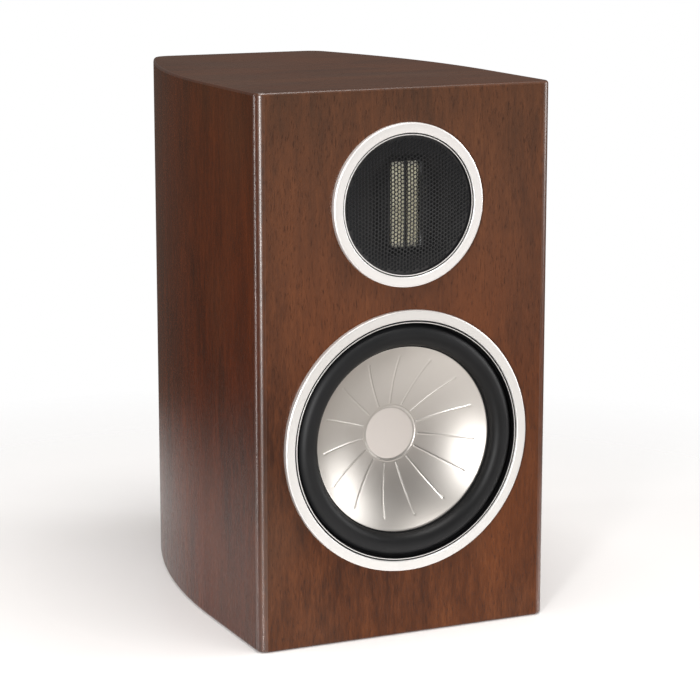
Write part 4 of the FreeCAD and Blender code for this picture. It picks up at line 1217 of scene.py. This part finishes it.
for material, *nodes in (
    (plated("neodymium_nickel", (0.66, 0.65, 0.62), (0.48, 0.47, 0.45), 0.22),
     "grille_magnets", "tweeter_magnets"),
    (plated("plain_steel", (0.56, 0.56, 0.57), (0.36, 0.36, 0.37), 0.34),
     "board_fasteners", "ribbon_clamps", "tweeter_yoke"),
    (plated("zinc_steel", (0.64, 0.66, 0.68), (0.42, 0.44, 0.47), 0.30, 0.22), "pole_yoke", "top_plate"),
    (powder_coat("cast_alloy", (0.020, 0.020, 0.021), (0.038, 0.038, 0.040), 0.42), "woofer_basket"),
    (pressed("ferrite", (0.020, 0.020, 0.021), (0.048, 0.046, 0.045), 900.0, 0.62), "ferrite_magnet"),
    (pressed("gasket_foam", (0.014, 0.014, 0.015), (0.034, 0.034, 0.036), 1400.0, 0.85, 0.6),
     "tweeter_gasket", "woofer_gasket"),
    (pressed("acoustic_foam", (0.030, 0.030, 0.033), (0.090, 0.090, 0.096), 420.0, 0.9, 1.0), "damping_foam"),
    (pressed("brace_board", (0.36, 0.24, 0.13), (0.52, 0.38, 0.23), 700.0, 0.72), "window_brace"),
    (pressed("resistor_ceramic", (0.66, 0.64, 0.58), (0.82, 0.80, 0.75), 1100.0, 0.7), "power_resistors"),
    (moulded("cup_plastic", (0.012, 0.012, 0.013), (0.028, 0.028, 0.030), 0.44), "tweeter_rear_cup"),
    (moulded("film_wrap", (0.42, 0.26, 0.030), (0.62, 0.42, 0.060), 0.26), "film_capacitors"),
    (moulded("former_kapton", (0.36, 0.16, 0.030), (0.52, 0.26, 0.060), 0.22), "voice_coil_former"),
    (winding_material(), "inductors", "voice_coil", "tweeter_transformer"),
    (circuit_material(), "crossover_board"),
):
    finish_nodes(material, *nodes)


# ----------------------------------------------------------
# Studio.  A pale floor that fades into a pale surround, soft lights on both sides whose streaks show in the
# lacquer's rounded corner and in the metal cone, and the camera high at the left front.
def floor_material():
    """Smooth pale card with a soft sheen, thinning out to nothing away from the object."""
    f = Finish("studio_floor")
    mottle = f.noise(9.0, f.place(), 2.0, 0.5)
    tone = f.blend(mottle, (0.86, 0.845, 0.835), (0.90, 0.885, 0.875))
    away = f.node("ShaderNodeVectorMath", {"operation": "LENGTH"}, {0: f.place()}, output=1)
    fade_from, fade_rate = 0.17, 2.8        # metres, and share lost a metre
    fade = 1 - ((away - fade_from) * fade_rate).clamp()
    return f.surface(Base_Color=tone, Roughness=0.16 + mottle * 0.05, Specular_IOR_Level=0.5, Alpha=fade,
                     Emission_Color=(1.0, 0.99, 0.98), Emission_Strength=0.20)


def studio_floor():
    """A square of card on a grid, level with the cabinet's foot."""
    side, cells = 3.0, 9
    along = np.linspace(-side / 2, side / 2, cells)
    x, y = np.meshgrid(along, along)
    points = np.dstack([x, y, np.full_like(x, -0.2 * MM)]).reshape(-1, 3)
    floor = mesh_object("studio_floor", points, quads(cells, cells), floor_material())


def surround_light(camera_tone, low, level, high):
    """The world: one pale tone seen directly, and a dimmer range from below to above for everything lit."""
    world = bpy.data.worlds.new("studio")
    bpy.context.scene.world = world
    world.use_nodes = True
    sky = Graph(world.node_tree)
    up = sky.part(sky.node("ShaderNodeTexCoord"), 2)
    height = sky.node("ShaderNodeMapRange", {}, {"From Min": -1.0, "Value": up})
    tone = sky.ramp(height, [(0.30, low), (0.52, level), (0.85, high)])
    seen = sky.node("ShaderNodeLightPath")      # its first output is 1 for what the camera sees directly
    background = sky.node("ShaderNodeBackground", {}, {"Color": sky.blend(seen, tone, camera_tone)})
    sky.node("ShaderNodeOutputWorld", {}, {"Surface": background})


def soft_light(name, azimuth, elevation, distance, width, height, power, colour):
    """A rectangular soft box; azimuth 0 is in front of the drivers, and 90 on the cabinet's right."""
    light = bpy.data.lights.new(name, "AREA")
    light.shape = "RECTANGLE"
    light.size = width
    light.size_y = height
    light.energy = power
    light.color = colour
    lamp = bpy.data.objects.new(name, light)
    bpy.context.scene.collection.objects.link(lamp)
    a, e = math.radians(azimuth), math.radians(elevation)
    away = Vector((math.sin(a) * math.cos(e), -math.cos(a) * math.cos(e), math.sin(e)))
    lamp.location = Vector((0, 0, 0.15)) + away * distance
    lamp.rotation_euler = away.to_track_quat("Z", "Y").to_euler()


def camera_at(place, aim, lens):
    """The camera at `place`, looking at `aim`."""
    camera = bpy.data.cameras.new("camera")
    camera.lens = lens
    camera.sensor_width = 36
    body = bpy.data.objects.new("camera", camera)
    bpy.context.scene.collection.objects.link(body)
    body.location = place
    body.rotation_euler = (Vector(aim) - Vector(place)).to_track_quat("-Z", "Y").to_euler()
    bpy.context.scene.camera = body


studio_floor()
bpy.context.scene.view_settings.view_transform = "Standard"
surround_light((1.0, 1.0, 1.0), (0.15, 0.115, 0.09), (0.125, 0.105, 0.095), (0.11, 0.105, 0.105))
white = (1.0, 1.0, 1.0)
for light in (      # name, azimuth, elevation, distance, width and height in metres, power in watts, colour
    ("left_strip", -106, 6, 1.5, 0.12, 1.3, 8.5, white),
    ("left_front", -38, 6, 1.6, 0.17, 0.9, 19, white),
    ("low_front", 25, -9, 1.5, 0.7, 0.35, 1.3, (1.0, 0.97, 0.94)),
    ("right_front", 68, 12, 1.6, 0.6, 0.9, 11, white),
    ("overhead", 0, 76, 1.9, 1.2, 1.0, 38, (1.0, 0.98, 0.96)),
):
    soft_light(*light)
camera_at(place=(-0.5772, -1.3090, 0.4241), aim=(-0.0334, -0.1305, 0.1617), lens=128.3)
